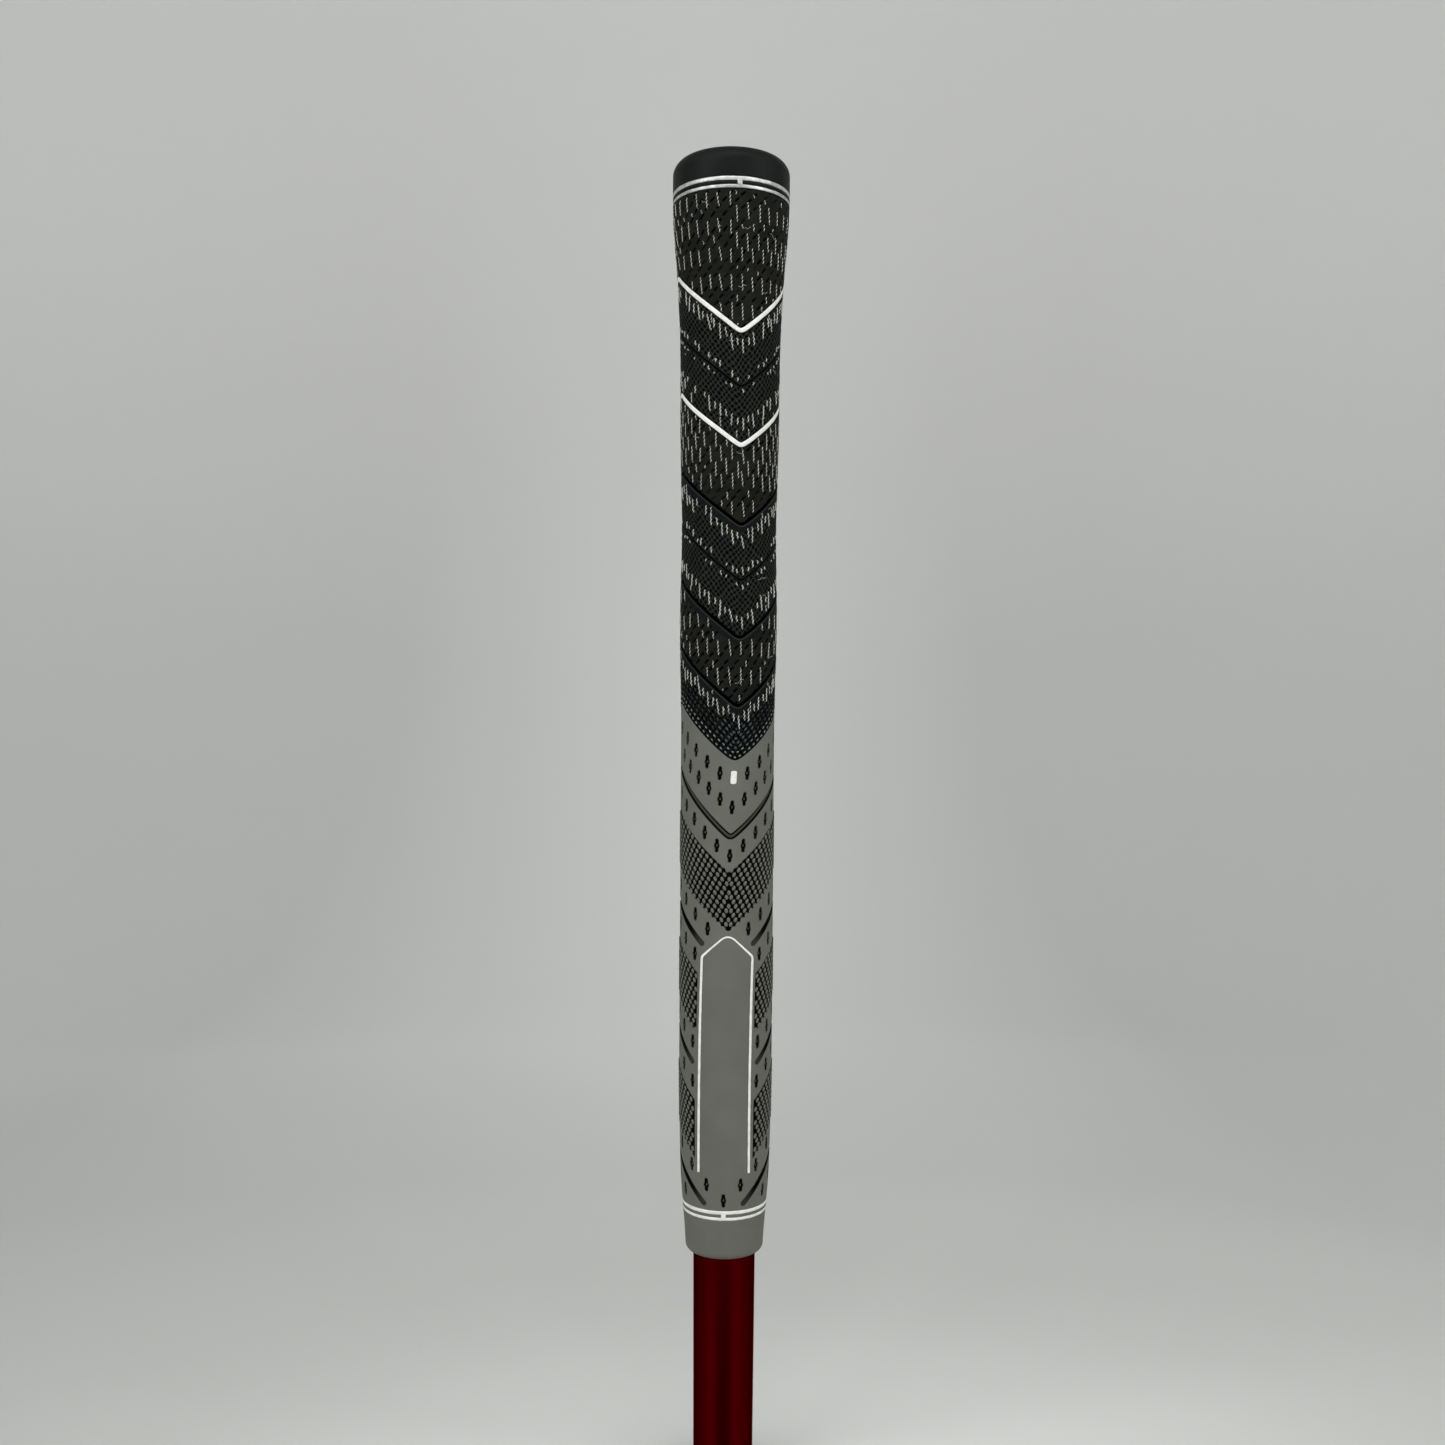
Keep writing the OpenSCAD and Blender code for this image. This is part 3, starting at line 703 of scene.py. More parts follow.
# %% Patterns of the lower hand
groove_half, groove_depth, rib_half, lower_pitch, first_groove = 0.7, 0.5, 0.38, 31.2, 102.7
lowest_tip, net_below_groove = 9.5, 15.7
groove_tips = [first_groove - lower_pitch * i for i in range(3)] + [lowest_tip]
net_tips = [first_groove - net_below_groove - lower_pitch * i for i in range(3)]
# Angles from the front and the back at which grooves and nets stop. At 0 they run through.
groove_stops = [(0, 0), (33, 0), (43.5, 0), (27, 27)]
net_stops = [0, 38.5, 40]
net_half, net_depth, net_round = 7.15, 0.5, 1.0
mouth_lines = [(9.95, 10.75), (11.45, 12.4)]
inlay = 0.1
far_from_end = -99.0


def past_stop(phi, height, front, back):
    """How far in mm a point is past the end of its groove, level with it, or far from any end."""
    from_front = np.abs(wrapped(phi))
    past_front = front - from_front if front else far_from_end
    past_back = back - 180 + from_front if back else far_from_end
    return np.maximum(past_front, past_back) * np.radians(1) * radius_at(height)


def groove_and_shade(phi, height, tip, stops):
    """Depth of a groove in mm, and its painted shade. Only the groove that runs all round has a
    rib.
    Past its stop a groove goes on as a half circle square to its line, and pales."""
    side = from_chevron(phi, height, tip)
    steep = steepness(phi, height, tip)
    past = past_stop(phi, height, *stops)
    distance = np.hypot(side, np.maximum(past * steep - side * np.sqrt(steep ** 2 - 1), 0))
    rib = (stops == (0, 0)) * inside(distance, rib_half, 0.14)
    pale_end = 0.3 * eased(1 + past / 4)
    dark = inside(distance, groove_half + 0.07, 0.1) * (1 - 0.38 * rib) * (1 - pale_end)
    return inside(distance, groove_half, 0.14) * (groove_depth - 0.26 * rib), dark


def net_floor(phi, height, middle, stop):
    """1 on the sunk floor of a net band."""
    above = height - middle - climb(phi, middle, net_round)
    band = 1 - eased((np.abs(above) - (net_half - 0.12)) / 0.16)
    if stop:
        short = (stop - np.abs(wrapped(phi))) * np.radians(1) * radius_at(height)
        band = band * (1 - eased(short / 0.2))
    return band


# Rows of darts: the groove they follow, their height over its tip, the angle of the first dart,
# the step to the next, and the angles kept bare at the front and at the back
dart_rows = [(0, 12.9, 17, 17, 0, 0), (0, 6.9, 0, 15, 0, 0), (0, -4.7, 0, 16.3, 0, 0),
             (1, 4.9, 7.5, 18, 24, 0), (1, -4.6, 7, 18, 42, 0),
             (2, 4.9, 7.5, 18, 42, 0), (2, -4.6, 7, 18, 42, 0),
             (3, 5.4, 0, 22.5, 0, 0), (3, -4.6, 7.3, 18, 60, 60)]
last_dart, most_darts = 86, 7
darts = []
for groove, offset, first, step, *bare in dart_rows:
    tip = groove_tips[groove] + offset
    for face, d in ((f, first + k * step) for f in (0, 1) for k in range(most_darts)):
        if bare[face] <= d <= last_dart:
            ways = (-1, 1) if d else (1,)
            darts += [(180 * face + way * d, tip + float(climb(np.array(d), tip))) for way in ways]


# A dart in mm: half the straight part of its slot and half its width, the half axes of the ring
# that widens it and of the small eye that stands in the ring, and its depth
slot_straight, slot_half, dart_depth = 1.2, 0.37, 0.6
(ring_x, ring_y), (eye_x, eye_y) = (0.6, 0.74), (0.2, 0.32)


def dart_depth_and_shade(phi, height):
    """Slots 3 mm long that widen to a ring round a small eye: their depth in mm and painted shade.
    """
    depth, dark = np.zeros(height.shape), np.zeros(height.shape)
    reach_mm, reach_degrees = 2, 5
    for middle, level in darts:
        beside = (height.max(1) > level - reach_mm) & (height.min(1) < level + reach_mm)
        rows = np.where(beside)[0]
        columns = np.where(np.abs(wrapped(phi - middle)) < reach_degrees)[0]
        if not len(rows) or not len(columns):
            continue
        patch = np.ix_(rows, columns)
        x = wrapped(phi - middle)[columns] * np.radians(1) * radius_at(np.array(level))
        y = height[patch] - level
        slot = np.hypot(x, np.maximum(np.abs(y) - slot_straight, 0)) - slot_half
        ring = ring_x * (np.hypot(x / ring_x, y / ring_y) - 1)
        eye = 1 - eased((np.hypot(x / eye_x, y / eye_y) - 0.7) / 0.6)
        edge = np.minimum(slot, ring)
        cut = 1 - eased((edge + 0.06) / 0.12)
        depth[patch] = np.maximum(depth[patch], dart_depth * cut * (1 - 0.75 * eye))
        dark[patch] = np.maximum(dark[patch], (1 - eased((edge - 0.03) / 0.08)) * (1 - 0.6 * eye))
    return depth, dark


print(len(darts), "darts,", len(groove_tips), "grooves and", len(net_tips), "net bands")

# %% Lower hand
lip_r, seam_r, shaft_r = 1.5, 0.15, 7.62
columns = 600
phi = np.arange(columns) * 360.0 / columns


def level(value):
    """The same height or lift at every column of the lower hand."""
    return np.full(columns, float(value))


def lower_hand_knots():
    """Height curves from the lip to the joint, with the greatest spacing of rows above each."""
    knots, spacing = [level(lip_r)], []
    for low, high in mouth_lines:
        knots += [level(low - 0.03), level(low + 0.06), level(high - 0.06), level(high + 0.03)]
        spacing += [0.4, 0.05, 0.2, 0.05]
    for i in (3, 2, 1, 0):
        knots += groove_knots(phi, groove_tips[i], groove_half)
        spacing += [0.21, 0.07, 0.12, 0.07]
        if i:
            middle = net_tips[i - 1] + climb(phi, net_tips[i - 1], net_round)
            lip, foot = net_half + 0.05, net_half - 0.12
            knots += [middle - lip, middle - foot, middle + foot, middle + lip]
            spacing += [0.21, 0.07, 0.5, 0.07]
    knots.append(joint_line(phi) - seam_r)
    return rising(knots), spacing + [0.21]


knots, spacing = lower_hand_knots()
height = rows_between(knots, spacing)
depth, shade = dart_depth_and_shade(phi, height)
for tip, stops in zip(groove_tips, groove_stops):
    cut, dark = groove_and_shade(phi[None, :], height, tip, stops)
    depth, shade = np.maximum(depth, cut), np.maximum(shade, dark)
for low, high in mouth_lines:
    channel = inside(height - (low + high) / 2, (high - low) / 2 + 0.04, 0.1)
    depth = np.maximum(depth, inlay * channel)
net = np.zeros(height.shape)
for middle, stop in zip(net_tips, net_stops):
    net = np.maximum(net, net_floor(phi[None, :], height, middle, stop))
# The net's sunk floor gets full painted shade.
depth, shade = np.maximum(depth, net_depth * net), np.maximum(shade, net)
print("lower hand grid:", height.shape)

# %% Make the lower hand in four pieces
tucked_in = -1.2


def with_ends(height, joint, upward):
    """Adds the rows that turn a sleeve's edge in at the joint, and gives all heights and lifts."""
    turned = [(seam_r * (1 - math.sin(a)), -seam_r * (1 - math.cos(a)))
              for a in np.radians((30, 60, 90))] + [(0.0, tucked_in)]
    way = -1 if upward else 1
    edge = np.array([joint + way * inward for inward, _ in turned])
    sunk = np.array([np.full(height.shape[1], low) for _, low in turned])
    if upward:
        return np.vstack([height, edge]), np.vstack([np.zeros(height.shape), sunk])
    return np.vstack([edge[::-1], height]), np.vstack([sunk[::-1], np.zeros(height.shape)])


def lip_rows():
    """Rows from the shaft out across the mouth's face and round its lip."""
    wall_r = float(radius_at(np.array(lip_r)))
    face = [(0.0, r) for r in np.linspace(shaft_r, wall_r - lip_r, 8)]
    arc = [(lip_r * (1 - math.cos(a)), wall_r - lip_r * (1 - math.sin(a)))
           for a in np.radians(np.linspace(10, 80, 8))]
    rows = [(h, r - float(radius_at(np.array(h)))) for h, r in face + arc]
    return np.array([level(h) for h, _ in rows]), np.array([level(lift) for _, lift in rows])


def smooth_normals(points):
    """Normals of a closed grid, so that pieces cut from it meet without a seam."""
    around = np.roll(points, -1, 1) - np.roll(points, 1, 1)
    upward = np.gradient(points, axis=0)
    normal = np.cross(around, upward)
    return normal / np.maximum(np.linalg.norm(normal, axis=-1, keepdims=True), 1e-20)


def cut_in_pieces(names, phi, height, lift, material, slot, stands_for, **numbers):
    """Makes one grid as several pieces, one above another, that shade as one surface."""
    normals = smooth_normals(on_grip(phi[None, :], height, lift))
    cuts = np.linspace(0, len(height) - 1, len(names) + 1).round().astype(int)
    for name, start, stop in zip(names, cuts[:-1], cuts[1:]):
        part = slice(start, stop + 1)
        thing = sleeve_piece(name, phi, height[part], lift[part], material, slot, stands_for,
                             **{key: values[part] for key, values in numbers.items()})
        thing.data.normals_split_custom_set_from_vertices(normals[part].reshape(-1, 3))


all_height, ends = with_ends(height, joint_line(phi), upward=True)
extra = len(all_height) - len(height)
lift = ends - np.vstack([depth, np.zeros((extra, columns))])
lip_height, lip_lift = lip_rows()
all_height, lift = np.vstack([lip_height, all_height]), np.vstack([lip_lift, lift])
# The turned-in edge at the joint is painted fully dark: painted shade in the seam.
sunk = np.vstack([np.zeros(lip_height.shape), shade, np.ones((extra, columns))])
cut_in_pieces(["lower_hand_mouth", "lower_hand_panel", "lower_hand_net", "lower_hand_top"], phi,
              all_height, lift, finishes["soft_grey"], "grey_rubber", "soft_sleeve", sunk=sunk)

# %% [markdown]
# ## The net's studs
#
# The net is a field of small leaning ovals that stand a little proud, so that fingers feel them
# first. They stand in rows along the chevron's arms, and each row is moved along by a third. The
# sleeve's grid is too coarse for their round feet, so every stud is stamped from one small dome,
# as a toolmaker would sink them with one punch. Those on the net's edge are lower and run into
# it, which gives the edge its teeth.

# %% Stamp the studs
def oval_dome(half_width, half_height, foot, top, sides=12):
    """Points (x, y, lift) in mm, triangles, and each point's painted shade, darkest at the foot, of
    an oval dome.
    """
    angle = np.linspace(0, 2 * np.pi, sides, endpoint=False)
    # Each ring of the dome: its share of the size, its lift and its painted shade
    rings = [(1.15, -foot, 1), (1.02, top - 0.15, 0.8), (0.97, top - 0.09, 0.4),
             (0.84, top - 0.03, 0)]
    points = [(half_width * s * math.sin(a), -half_height * s * math.cos(a), low)
              for s, low, _ in rings for a in angle] + [(0, 0, top)]
    faces = [f for a, b, c, d in quads(len(rings), sides) for f in ((a, b, c), (a, c, d))]
    last = (len(rings) - 1) * sides
    faces += [(last + i, last + (i + 1) % sides, len(points) - 1) for i in range(sides)]
    dark = [shade for _, _, shade in rings for _ in angle] + [0]
    return np.array(points), np.array(faces), np.array(dark, np.float32)


def stamp(name, places, shape, material, slot, stands_for):
    """Stamps a shape at places (angle, height, lean, rise) on the grip. Lean and rise shear it."""
    points, faces, dark = shape
    phi, height, lean, rise = np.array(places).T[:, :, None]
    x = points[None, :, 0] + lean * points[None, :, 1]
    y = points[None, :, 1] + rise * points[None, :, 0]
    turn = x / (np.radians(1) * radius_at(height))
    where = on_grip(phi + turn, height + y, points[None, :, 2])
    steps = np.arange(len(places))[:, None, None] * len(points)
    thing = mesh_of(name, where, (faces[None] + steps).reshape(-1, 3), material)
    store(thing, "sunk", np.tile(dark, len(places)))
    belongs(thing, slot, stands_for)


net_columns, stud_step, stud_phase, stud_lean = 128, 1.08, 2.2, 0.24
stud_x, stud_y = 0.43, 0.61
studs = {"lower_net_studs": [], "lower_net_edge": []}
for middle, stop in zip(net_tips, net_stops):
    for i in range(net_columns):
        angle = i * 360 / net_columns
        if stop and abs(wrapped(angle)) < stop + 0.8:
            continue
        arm = math.fmod(angle, 180)
        out = min(arm, 180 - arm) * net_columns / 360
        way = 1 if arm < 90 else -1
        lean = way * stud_lean * min(out / 2, (net_columns / 4 - out) / 2, 1)
        line = float(climb(np.array(angle), middle, net_round))
        for n in range(-3, 25):
            over = stud_phase + stud_step * (3 * n - out) - line
            if abs(over) < net_half + 0.6:
                kind = "lower_net_studs" if abs(over) < net_half - 0.5 else "lower_net_edge"
                studs[kind].append((angle, middle + line + over, lean, 0.0))
for (name, places), proud in zip(studs.items(), (0.2, 0.012)):
    stamp(name, places, oval_dome(stud_x, stud_y, net_depth, proud), finishes["soft_grey"],
          "grey_rubber", "soft_sleeve")
print(sum(map(len, studs.values())), "studs")

# %% [markdown]
# ## The upper hand
#
# The corded skin starts in a V that seats against the grey rubber. Its chevrons are of three
# kinds: bare grooves, hairlines, and channels for paint. Between them the fabric prints through
# the rubber in two ways, as small slanting dimples or as a fine basket mesh. Both are tenths of a
# millimetre deep. A bump map could fake them, but it vanishes at the outline, where cord is felt
# most, so the same kind of grid carries it all.

# %% Patterns of the upper hand
bare_chevrons, hairlines = (134.0, 150.3, 177.3), (164.0, 210.0)
painted_chevrons = (196.1, 223.2)
bare_half, hairline_half, stripe_half = 0.4, 0.2, 0.56
bare_depth, hairline_depth, lip_proud = 0.45, 0.3, 0.07
mesh_zones = ((121.0, 133.2), (150.3, 174.9), (196.1, 222.3))
dimple_zones = ((134.0, 150.3), (177.3, 196.1), (223.2, 262.0))
upper_columns = 520
upper_phi = np.arange(upper_columns) * 360.0 / upper_columns


def upper_hand_knots(phi):
    """Height curves from the joint to the cap, with the greatest spacing of rows above each."""
    kinds = ((bare_chevrons, bare_half), (hairlines, hairline_half),
             (painted_chevrons, stripe_half))
    lines = [(tip, half) for chevrons, half in kinds for tip in chevrons]
    knots, spacing = [joint_line(phi) + seam_r], []
    for tip, half in sorted(lines):
        knots += groove_knots(phi, tip, half)
        spacing += [0.18, 0.07, 0.12, 0.07]
    knots.append(np.full(len(phi), cap_seam - 0.02))
    return rising(knots), spacing + [0.18]


def within(value, zones, blend=0.5):
    """1 where a value lies in one of some zones, and 0 outside them."""
    total = 0.0
    for low, high in zones:
        zone = eased((value - low) / blend) * (1 - eased((value - high) / blend))
        total = np.maximum(total, zone)
    return total


upper_height = rows_between(*upper_hand_knots(upper_phi))
ring = upper_phi[None, :]
tips = followed(ring, upper_height)
cut, smooth, raised, worn = np.zeros((4,) + upper_height.shape)
for tip in bare_chevrons:
    above = from_chevron(ring, upper_height, tip)
    cut = np.maximum(cut, bare_depth * inside(above, bare_half, 0.16))
    # The lip under a bare groove stands proud and is painted paler: a painted highlight along its
    # edge, with some buffing wear.
    lip = inside(above + bare_half + 0.2, 0.15, 0.12)
    raised, worn = np.maximum(raised, lip_proud * lip), np.maximum(worn, lip)
    smooth = np.maximum(smooth, inside(above + bare_half + 0.7, 1.0, 0.3))
for tip in hairlines:
    above = from_chevron(ring, upper_height, tip)
    cut = np.maximum(cut, hairline_depth * inside(above, hairline_half, 0.14))
    smooth = np.maximum(smooth, inside(above, 0.55, 0.3))
for tip in painted_chevrons:
    above = from_chevron(ring, upper_height, tip)
    cut = np.maximum(cut, inlay * inside(above, stripe_half + 0.04, 0.1))
line = np.maximum(smooth, (cut > 0.02) * 1.0)
print("share of the upper hand beside or in a line:", round(float(line.mean()), 2))

# %% Fabric printed through the rubber
# The basket mesh has as many threads round the grip as the cloth has yarns, and a thread every
# 0.8 mm along it. The rows bow a little towards the chevrons, as cloth pulled on a mandrel does.
threads_round, thread_mm, bow = 56, 0.8, 0.3
dimple_turn, dimple_rise, dimple_straight = 6.0, 3.4, 0.52


def basket(phi, height):
    """Basket mesh between 0 and 1, with knots that wander as in real cloth."""
    drift = 1.1 * ripple(phi, height, 7.0, 3) + 0.7 * ripple(phi, height, 2.4, 4)
    across = np.radians(phi) * threads_round + drift
    along = ((height - bow * climb(phi, height)) * np.pi / thread_mm
             + 0.9 * ripple(phi, height, 3.0, 5))
    return 0.5 + 0.5 * np.cos(across) * np.cos(along)


def dimples(phi, height):
    """Small slanting dimples in staggered columns, between 0 and 1."""
    drift = 0.6 * ripple(phi, height, 25.0, 6)
    column = np.round((phi - 3.0) / dimple_turn)
    x = (phi - 3.0 - column * dimple_turn) * np.radians(1) * radius_at(height)
    step = (height + drift) / dimple_rise + 0.5 * np.mod(column, 2)
    y = (step - np.round(step)) * dimple_rise
    along, across = (x + y) * 0.7071, (y - x) * 0.7071
    strength = 0.75 + 0.5 * ripple(phi, height, 12.0, 7)
    lost = ripple(column * dimple_turn, np.round(step) * dimple_rise, 5.0, 8)
    distance = np.hypot(np.maximum(np.abs(along) - dimple_straight, 0), across)
    shape = 1 - eased((distance - 0.12) / 0.2)
    return np.clip(shape * strength * eased((lost + 0.9) / 0.4), 0, 1)


mesh_share = within(tips, mesh_zones) * (1 - line)
dimple_share = within(tips, dimple_zones) * (1 - line)
cloth = basket(ring, upper_height)
woven = mesh_share * eased((0.41 - cloth) / 0.16)
# The basket's raised knots are painted paler: a painted highlight, with some buffing wear.
worn = np.maximum(worn, 0.38 * mesh_share * eased((cloth - 0.5) / 0.35))
pits = dimple_share * dimples(ring, upper_height)
net_ground = within(tips, [(120.0, 129.5)], 1.0)
# Grooves, the basket's pits, the dimples and the floor under the joint's studs are painted darker:
# painted shade in the recesses.
dark = np.clip(cut / 0.2 + 1.1 * woven + 1.4 * pits + 0.6 * net_ground, 0, 1)
cut = cut + 0.16 * woven + 0.3 * pits
waviness = 0.03 * ripple(ring, upper_height, 2.2, 9) * (1 - line)
all_height, ends = with_ends(upper_height, joint_line(upper_phi), upward=False)
extra = len(all_height) - len(upper_height)
blank = np.zeros((extra, upper_columns))
lift = ends + np.vstack([blank, raised + waviness - cut])
# The turned-in edge at the joint is painted fully dark: painted shade in the seam.
cut_in_pieces(["upper_hand_joint", "upper_hand_low", "upper_hand_middle", "upper_hand_high",
               "upper_hand_top"], upper_phi, all_height, lift, finishes["corded"], "corded_rubber",
              "corded_sleeve", sunk=np.vstack([blank + 1, dark]), smooth=np.vstack([blank, smooth]),
              worn=np.vstack([blank, worn]))
print("upper hand grid:", all_height.shape)

# %% [markdown]
# ## The net at the joint
#
# Where the corded skin meets the grey rubber it ends in a close net of its own, with no cord in
# it. Its studs are smaller and half a step apart from row to row. Buffing has left the two rows
# beside the joint paler, and has scuffed those near the tips. The same stamp makes them, in three
# finishes, because a stud is the smallest thing that wears as one.

# %% Stamp the joint's studs
joint_columns, joint_rows, joint_step, first_row, joint_foot = 62, 7, 1.12, 0.6, 0.2
pale_studs, tip_studs, dark_studs = [], [], []
for j in range(joint_rows):
    for i in range(joint_columns):
        angle = (i + 0.5 * (j % 2)) * 360 / joint_columns
        low, line, high = (float(joint_line(np.array(angle + d))) for d in (-1, 0, 1))
        rise = (high - low) / (2 * math.radians(1) * float(radius_at(np.array(line))))
        over = (first_row + joint_step * j) * math.hypot(1, rise)
        from_tip = min(angle % 180, 180 - angle % 180)
        scuffed = j < 6 and from_tip < 34 - 3 * j
        kind = pale_studs if j < 2 else tip_studs if scuffed else dark_studs
        kind.append((angle, line + over, 0.0, rise))
for name, places, (half_x, half_y, proud), finish in (
        ("joint_net_edge", pale_studs, (0.3, 0.23, 0.1), "net_edge"),
        ("joint_net_tips", tip_studs, (0.38, 0.36, 0.08), "net_tip"),
        ("joint_net_studs", dark_studs, (0.36, 0.36, 0.04), "net")):
    stamp(name, places, oval_dome(half_x, half_y, joint_foot, proud, sides=10), finishes[finish],
          "corded_rubber", "corded_sleeve")

# %% [markdown]
# ## Cord that shows through
#
# Each warp yarn of the fabric comes up to the surface for about 4 mm and dives again. The yarns
# lie 1.4 mm apart, and every other one comes up half a period later and deeper, so that it shows
# less. In the mesh zones the yarn shows only in bands beside the chevrons. Curves with a round
# bevel could lie there, but a yarn isn't a round wire. Each length here is what it is on the real
# cord, two plies twisted round each other, and its ends sink into the rubber.

# %% Where the yarn shows
chance = np.random.default_rng(11)
# Length in mm of one rise and dive of a yarn, numbers of yarns round the grip in each dimple
# zone, and the lengths that show of a yarn that comes up well and of one that stays deep
yarn_period, yarns_round = 6.65, (54, 56, 62)
well_up, just_up = (3.7, 4.8), (0.8, 2.2)
first_yarn = 0.35
all_lines = bare_chevrons + hairlines + painted_chevrons
# How much black is rubbed into the twist, and the radius of a ply and of its turn. The yarn of
# the mesh zones is buffed more, so it is cleaner and shows wider.
dimple_yarn, mesh_yarn = (0.8, 0.088, 0.118), (0.34, 0.1, 0.132)


def dashes_of_dimple_zones():
    """Middles and lengths of the yarn that shows where the fabric prints as dimples."""
    found = []
    for (low, high), yarns in zip(dimple_zones, yarns_round):
        for i in range(yarns):
            lean = chance.normal(-0.05, 0.05)
            for n in range(int(low / yarn_period) - 1, int((high + 16) / yarn_period) + 1):
                angle = (i + first_yarn) * 360 / yarns + chance.normal(0, 0.35)
                middle = (n + 0.5 * (i % 2) + 0.2) * yarn_period + chance.normal(0, 0.25)
                tip = float(followed(np.array(angle), np.array(middle)))
                if not low - 2.0 < tip < high + 2.0:
                    continue
                # The buffing varies in slow waves, and has gone deeper in the middle zone. Near
                # the cap the other yarns come up on one side, as where cloth is pieced.
                deep = float(ripple(np.array(angle), np.array(middle), 34.0, 12, waves=5))
                enough = -0.1 if 178 < middle < 212 else 0.5
                pieced = middle > 243 and -8 < wrapped(angle) < 112
                if (i % 2 == 0) != pieced or deep > enough:
                    length = chance.uniform(*well_up)
                elif chance.random() < 0.55 + 0.5 * deep:
                    length = chance.uniform(*just_up)
                else:
                    continue
                found.append((angle, middle, length, lean, dimple_yarn))
    return found


def dashes_of_mesh_zones():
    """Yarn in the bands just under and over each chevron: one length, or none, on each yarn."""
    found = []
    # Each band: the tip of the chevron it follows, and the lengths of its long and short yarns
    bands = [(130.0, 3.8, 2.4), (154.0, 3.9, 1.7), (162.6, 1.3, 0.8), (165.6, 2.0, 1.1),
             (173.1, 3.9, 2.3), (200.5, 3.9, 1.8), (208.6, 1.2, 0.8), (211.6, 2.0, 1.1),
             (219.6, 4.0, 2.4)]
    for tip, *lengths in bands:
        wide = lengths[0] > 3
        for i in range(threads_round):
            if chance.random() < (0.12 if wide else 0.3):
                continue
            angle = (i + first_yarn) * 360 / threads_round + chance.normal(0, 0.5)
            length = lengths[i % 2] * chance.uniform(0.8, 1.15)
            middle = tip + float(climb(np.array(angle), tip)) + chance.normal(0, 0.35)
            if wide and i % 2:
                middle += 0.7
            found.append((angle, middle, length, chance.normal(-0.05, 0.07), mesh_yarn))
    return found


def clear_of_lines(angle, levels):
    """True where a yarn's points keep off the chevrons, the cap and the joint."""
    phi = np.full(len(levels), angle)
    clear = (levels < cap_seam - 0.3) & (levels > joint_line(phi) + 4.5)
    for tip in all_lines:
        half = hairline_half if tip in hairlines else bare_half
        clear &= np.abs(from_chevron(phi, levels, tip)) > half + 0.3
    return clear


all_dashes = dashes_of_dimple_zones() + dashes_of_mesh_zones()
print(len(all_dashes), "places where yarn may show")

# %% Twist and lay the yarn
twist_length, ply_sides, ply_step, fewest_points = 1.8, 4, 0.115, 6


def plies(angle, middle, length, lean, kind):
    """Points and darkness of a yarn's two plies, or nothing where there is no room for it."""
    levels = np.arange(middle - length / 2, middle + length / 2, ply_step)
    clear = clear_of_lines(angle, levels)
    runs = np.split(levels, np.where(~clear)[0])
    kept = max((r[clear[np.searchsorted(levels, r)]] for r in runs), key=len)
    if len(kept) < fewest_points:
        return []
    stain, ply_r, turn_r = kind
    s = np.linspace(-1, 1, len(kept))
    start = chance.uniform(0, full_turn)
    sink = -0.03 + 0.03 * np.cos(kept * 5.3 + start) - 0.3 * s ** 8
    thick = ply_r * chance.uniform(0.9, 1.15) * (1 - 0.4 * s ** 6)
    arch = np.radians(np.linspace(-100, 100, ply_sides))[None, :]
    both = []
    for ply in range(2):
        turned = kept * 2 * np.pi / twist_length + start + ply * np.pi
        x = lean * (kept - middle) + turn_r * np.sin(turned)
        low = sink + turn_r * np.cos(turned)
        x = x[:, None] + thick[:, None] * np.sin(arch)
        lift = low[:, None] + thick[:, None] * np.cos(arch)
        rows = np.repeat(kept[:, None], ply_sides, 1)
        # Darker where a ply turns down into the twist and where the ends sink: painted shade, on
        # top of the rubber rubbed into the twist.
        deep = np.repeat(np.clip(stain - np.cos(turned) + 0.7 * s ** 8, 0, 1), ply_sides)
        both.append((on_grip(angle + x / (np.radians(1) * radius_at(rows)), rows, lift), deep))
    return both


def lay_yarn(name, dashes):
    """All lengths of yarn of one part of the grip, as one piece."""
    points, faces, dark, count = [], [], [], 0
    for grid, deep in (ply for dash in dashes for ply in plies(*dash)):
        points.append(grid.reshape(-1, 3))
        faces.append(quads(len(grid), ply_sides, closed=False) + count)
        dark.append(deep)
        count += len(points[-1])
    thing = mesh_of(name, np.vstack(points), np.vstack(faces), finishes["yarn"])
    store(thing, "sunk", np.concatenate(dark))
    belongs(thing, "cotton_cord")
    print(len(points) // 2, "lengths of yarn show")


for name, low, high in (("cord_yarn_low", 0, 160), ("cord_yarn_middle", 160, 215),
                        ("cord_yarn_high", 215, 300)):
    lay_yarn(name, [d for d in all_dashes if low <= d[1] < high])

# %% [markdown]
# ## Stray fibres
#
# Buffing pulls a few cotton fibres loose. They lie across the yarns, and some stand off the
# outline. Hair particles would do it, but they don't export, and a few dozen thin tubes are as
# quick to make.

# %% Lay a few stray fibres
fibre_r, fibre_rings, fibre_sides, fibres_tried, highest_loose_end = 0.03, 22, 5, 90, 242


def stray_fibre(angle, middle, length, rise, out):
    """A grid of points along a thin fibre that lies across the yarns. Its end may stand out."""
    s = np.linspace(-1, 1, fibre_rings)
    y = rise * length * s + 0.16 * np.sin(s * 5 + chance.uniform(0, full_turn))
    lift = 0.12 - 0.2 * s ** 6 + out * np.maximum(s, 0) ** 2
    around = np.radians(np.linspace(0, 360, fibre_sides))[None, :]
    turn = s * length / 2 / (np.radians(1) * radius_at(np.array(middle)))
    return on_grip(angle + turn[:, None], middle + y[:, None] + fibre_r * np.cos(around),
                   lift[:, None] + fibre_r * np.sin(around))


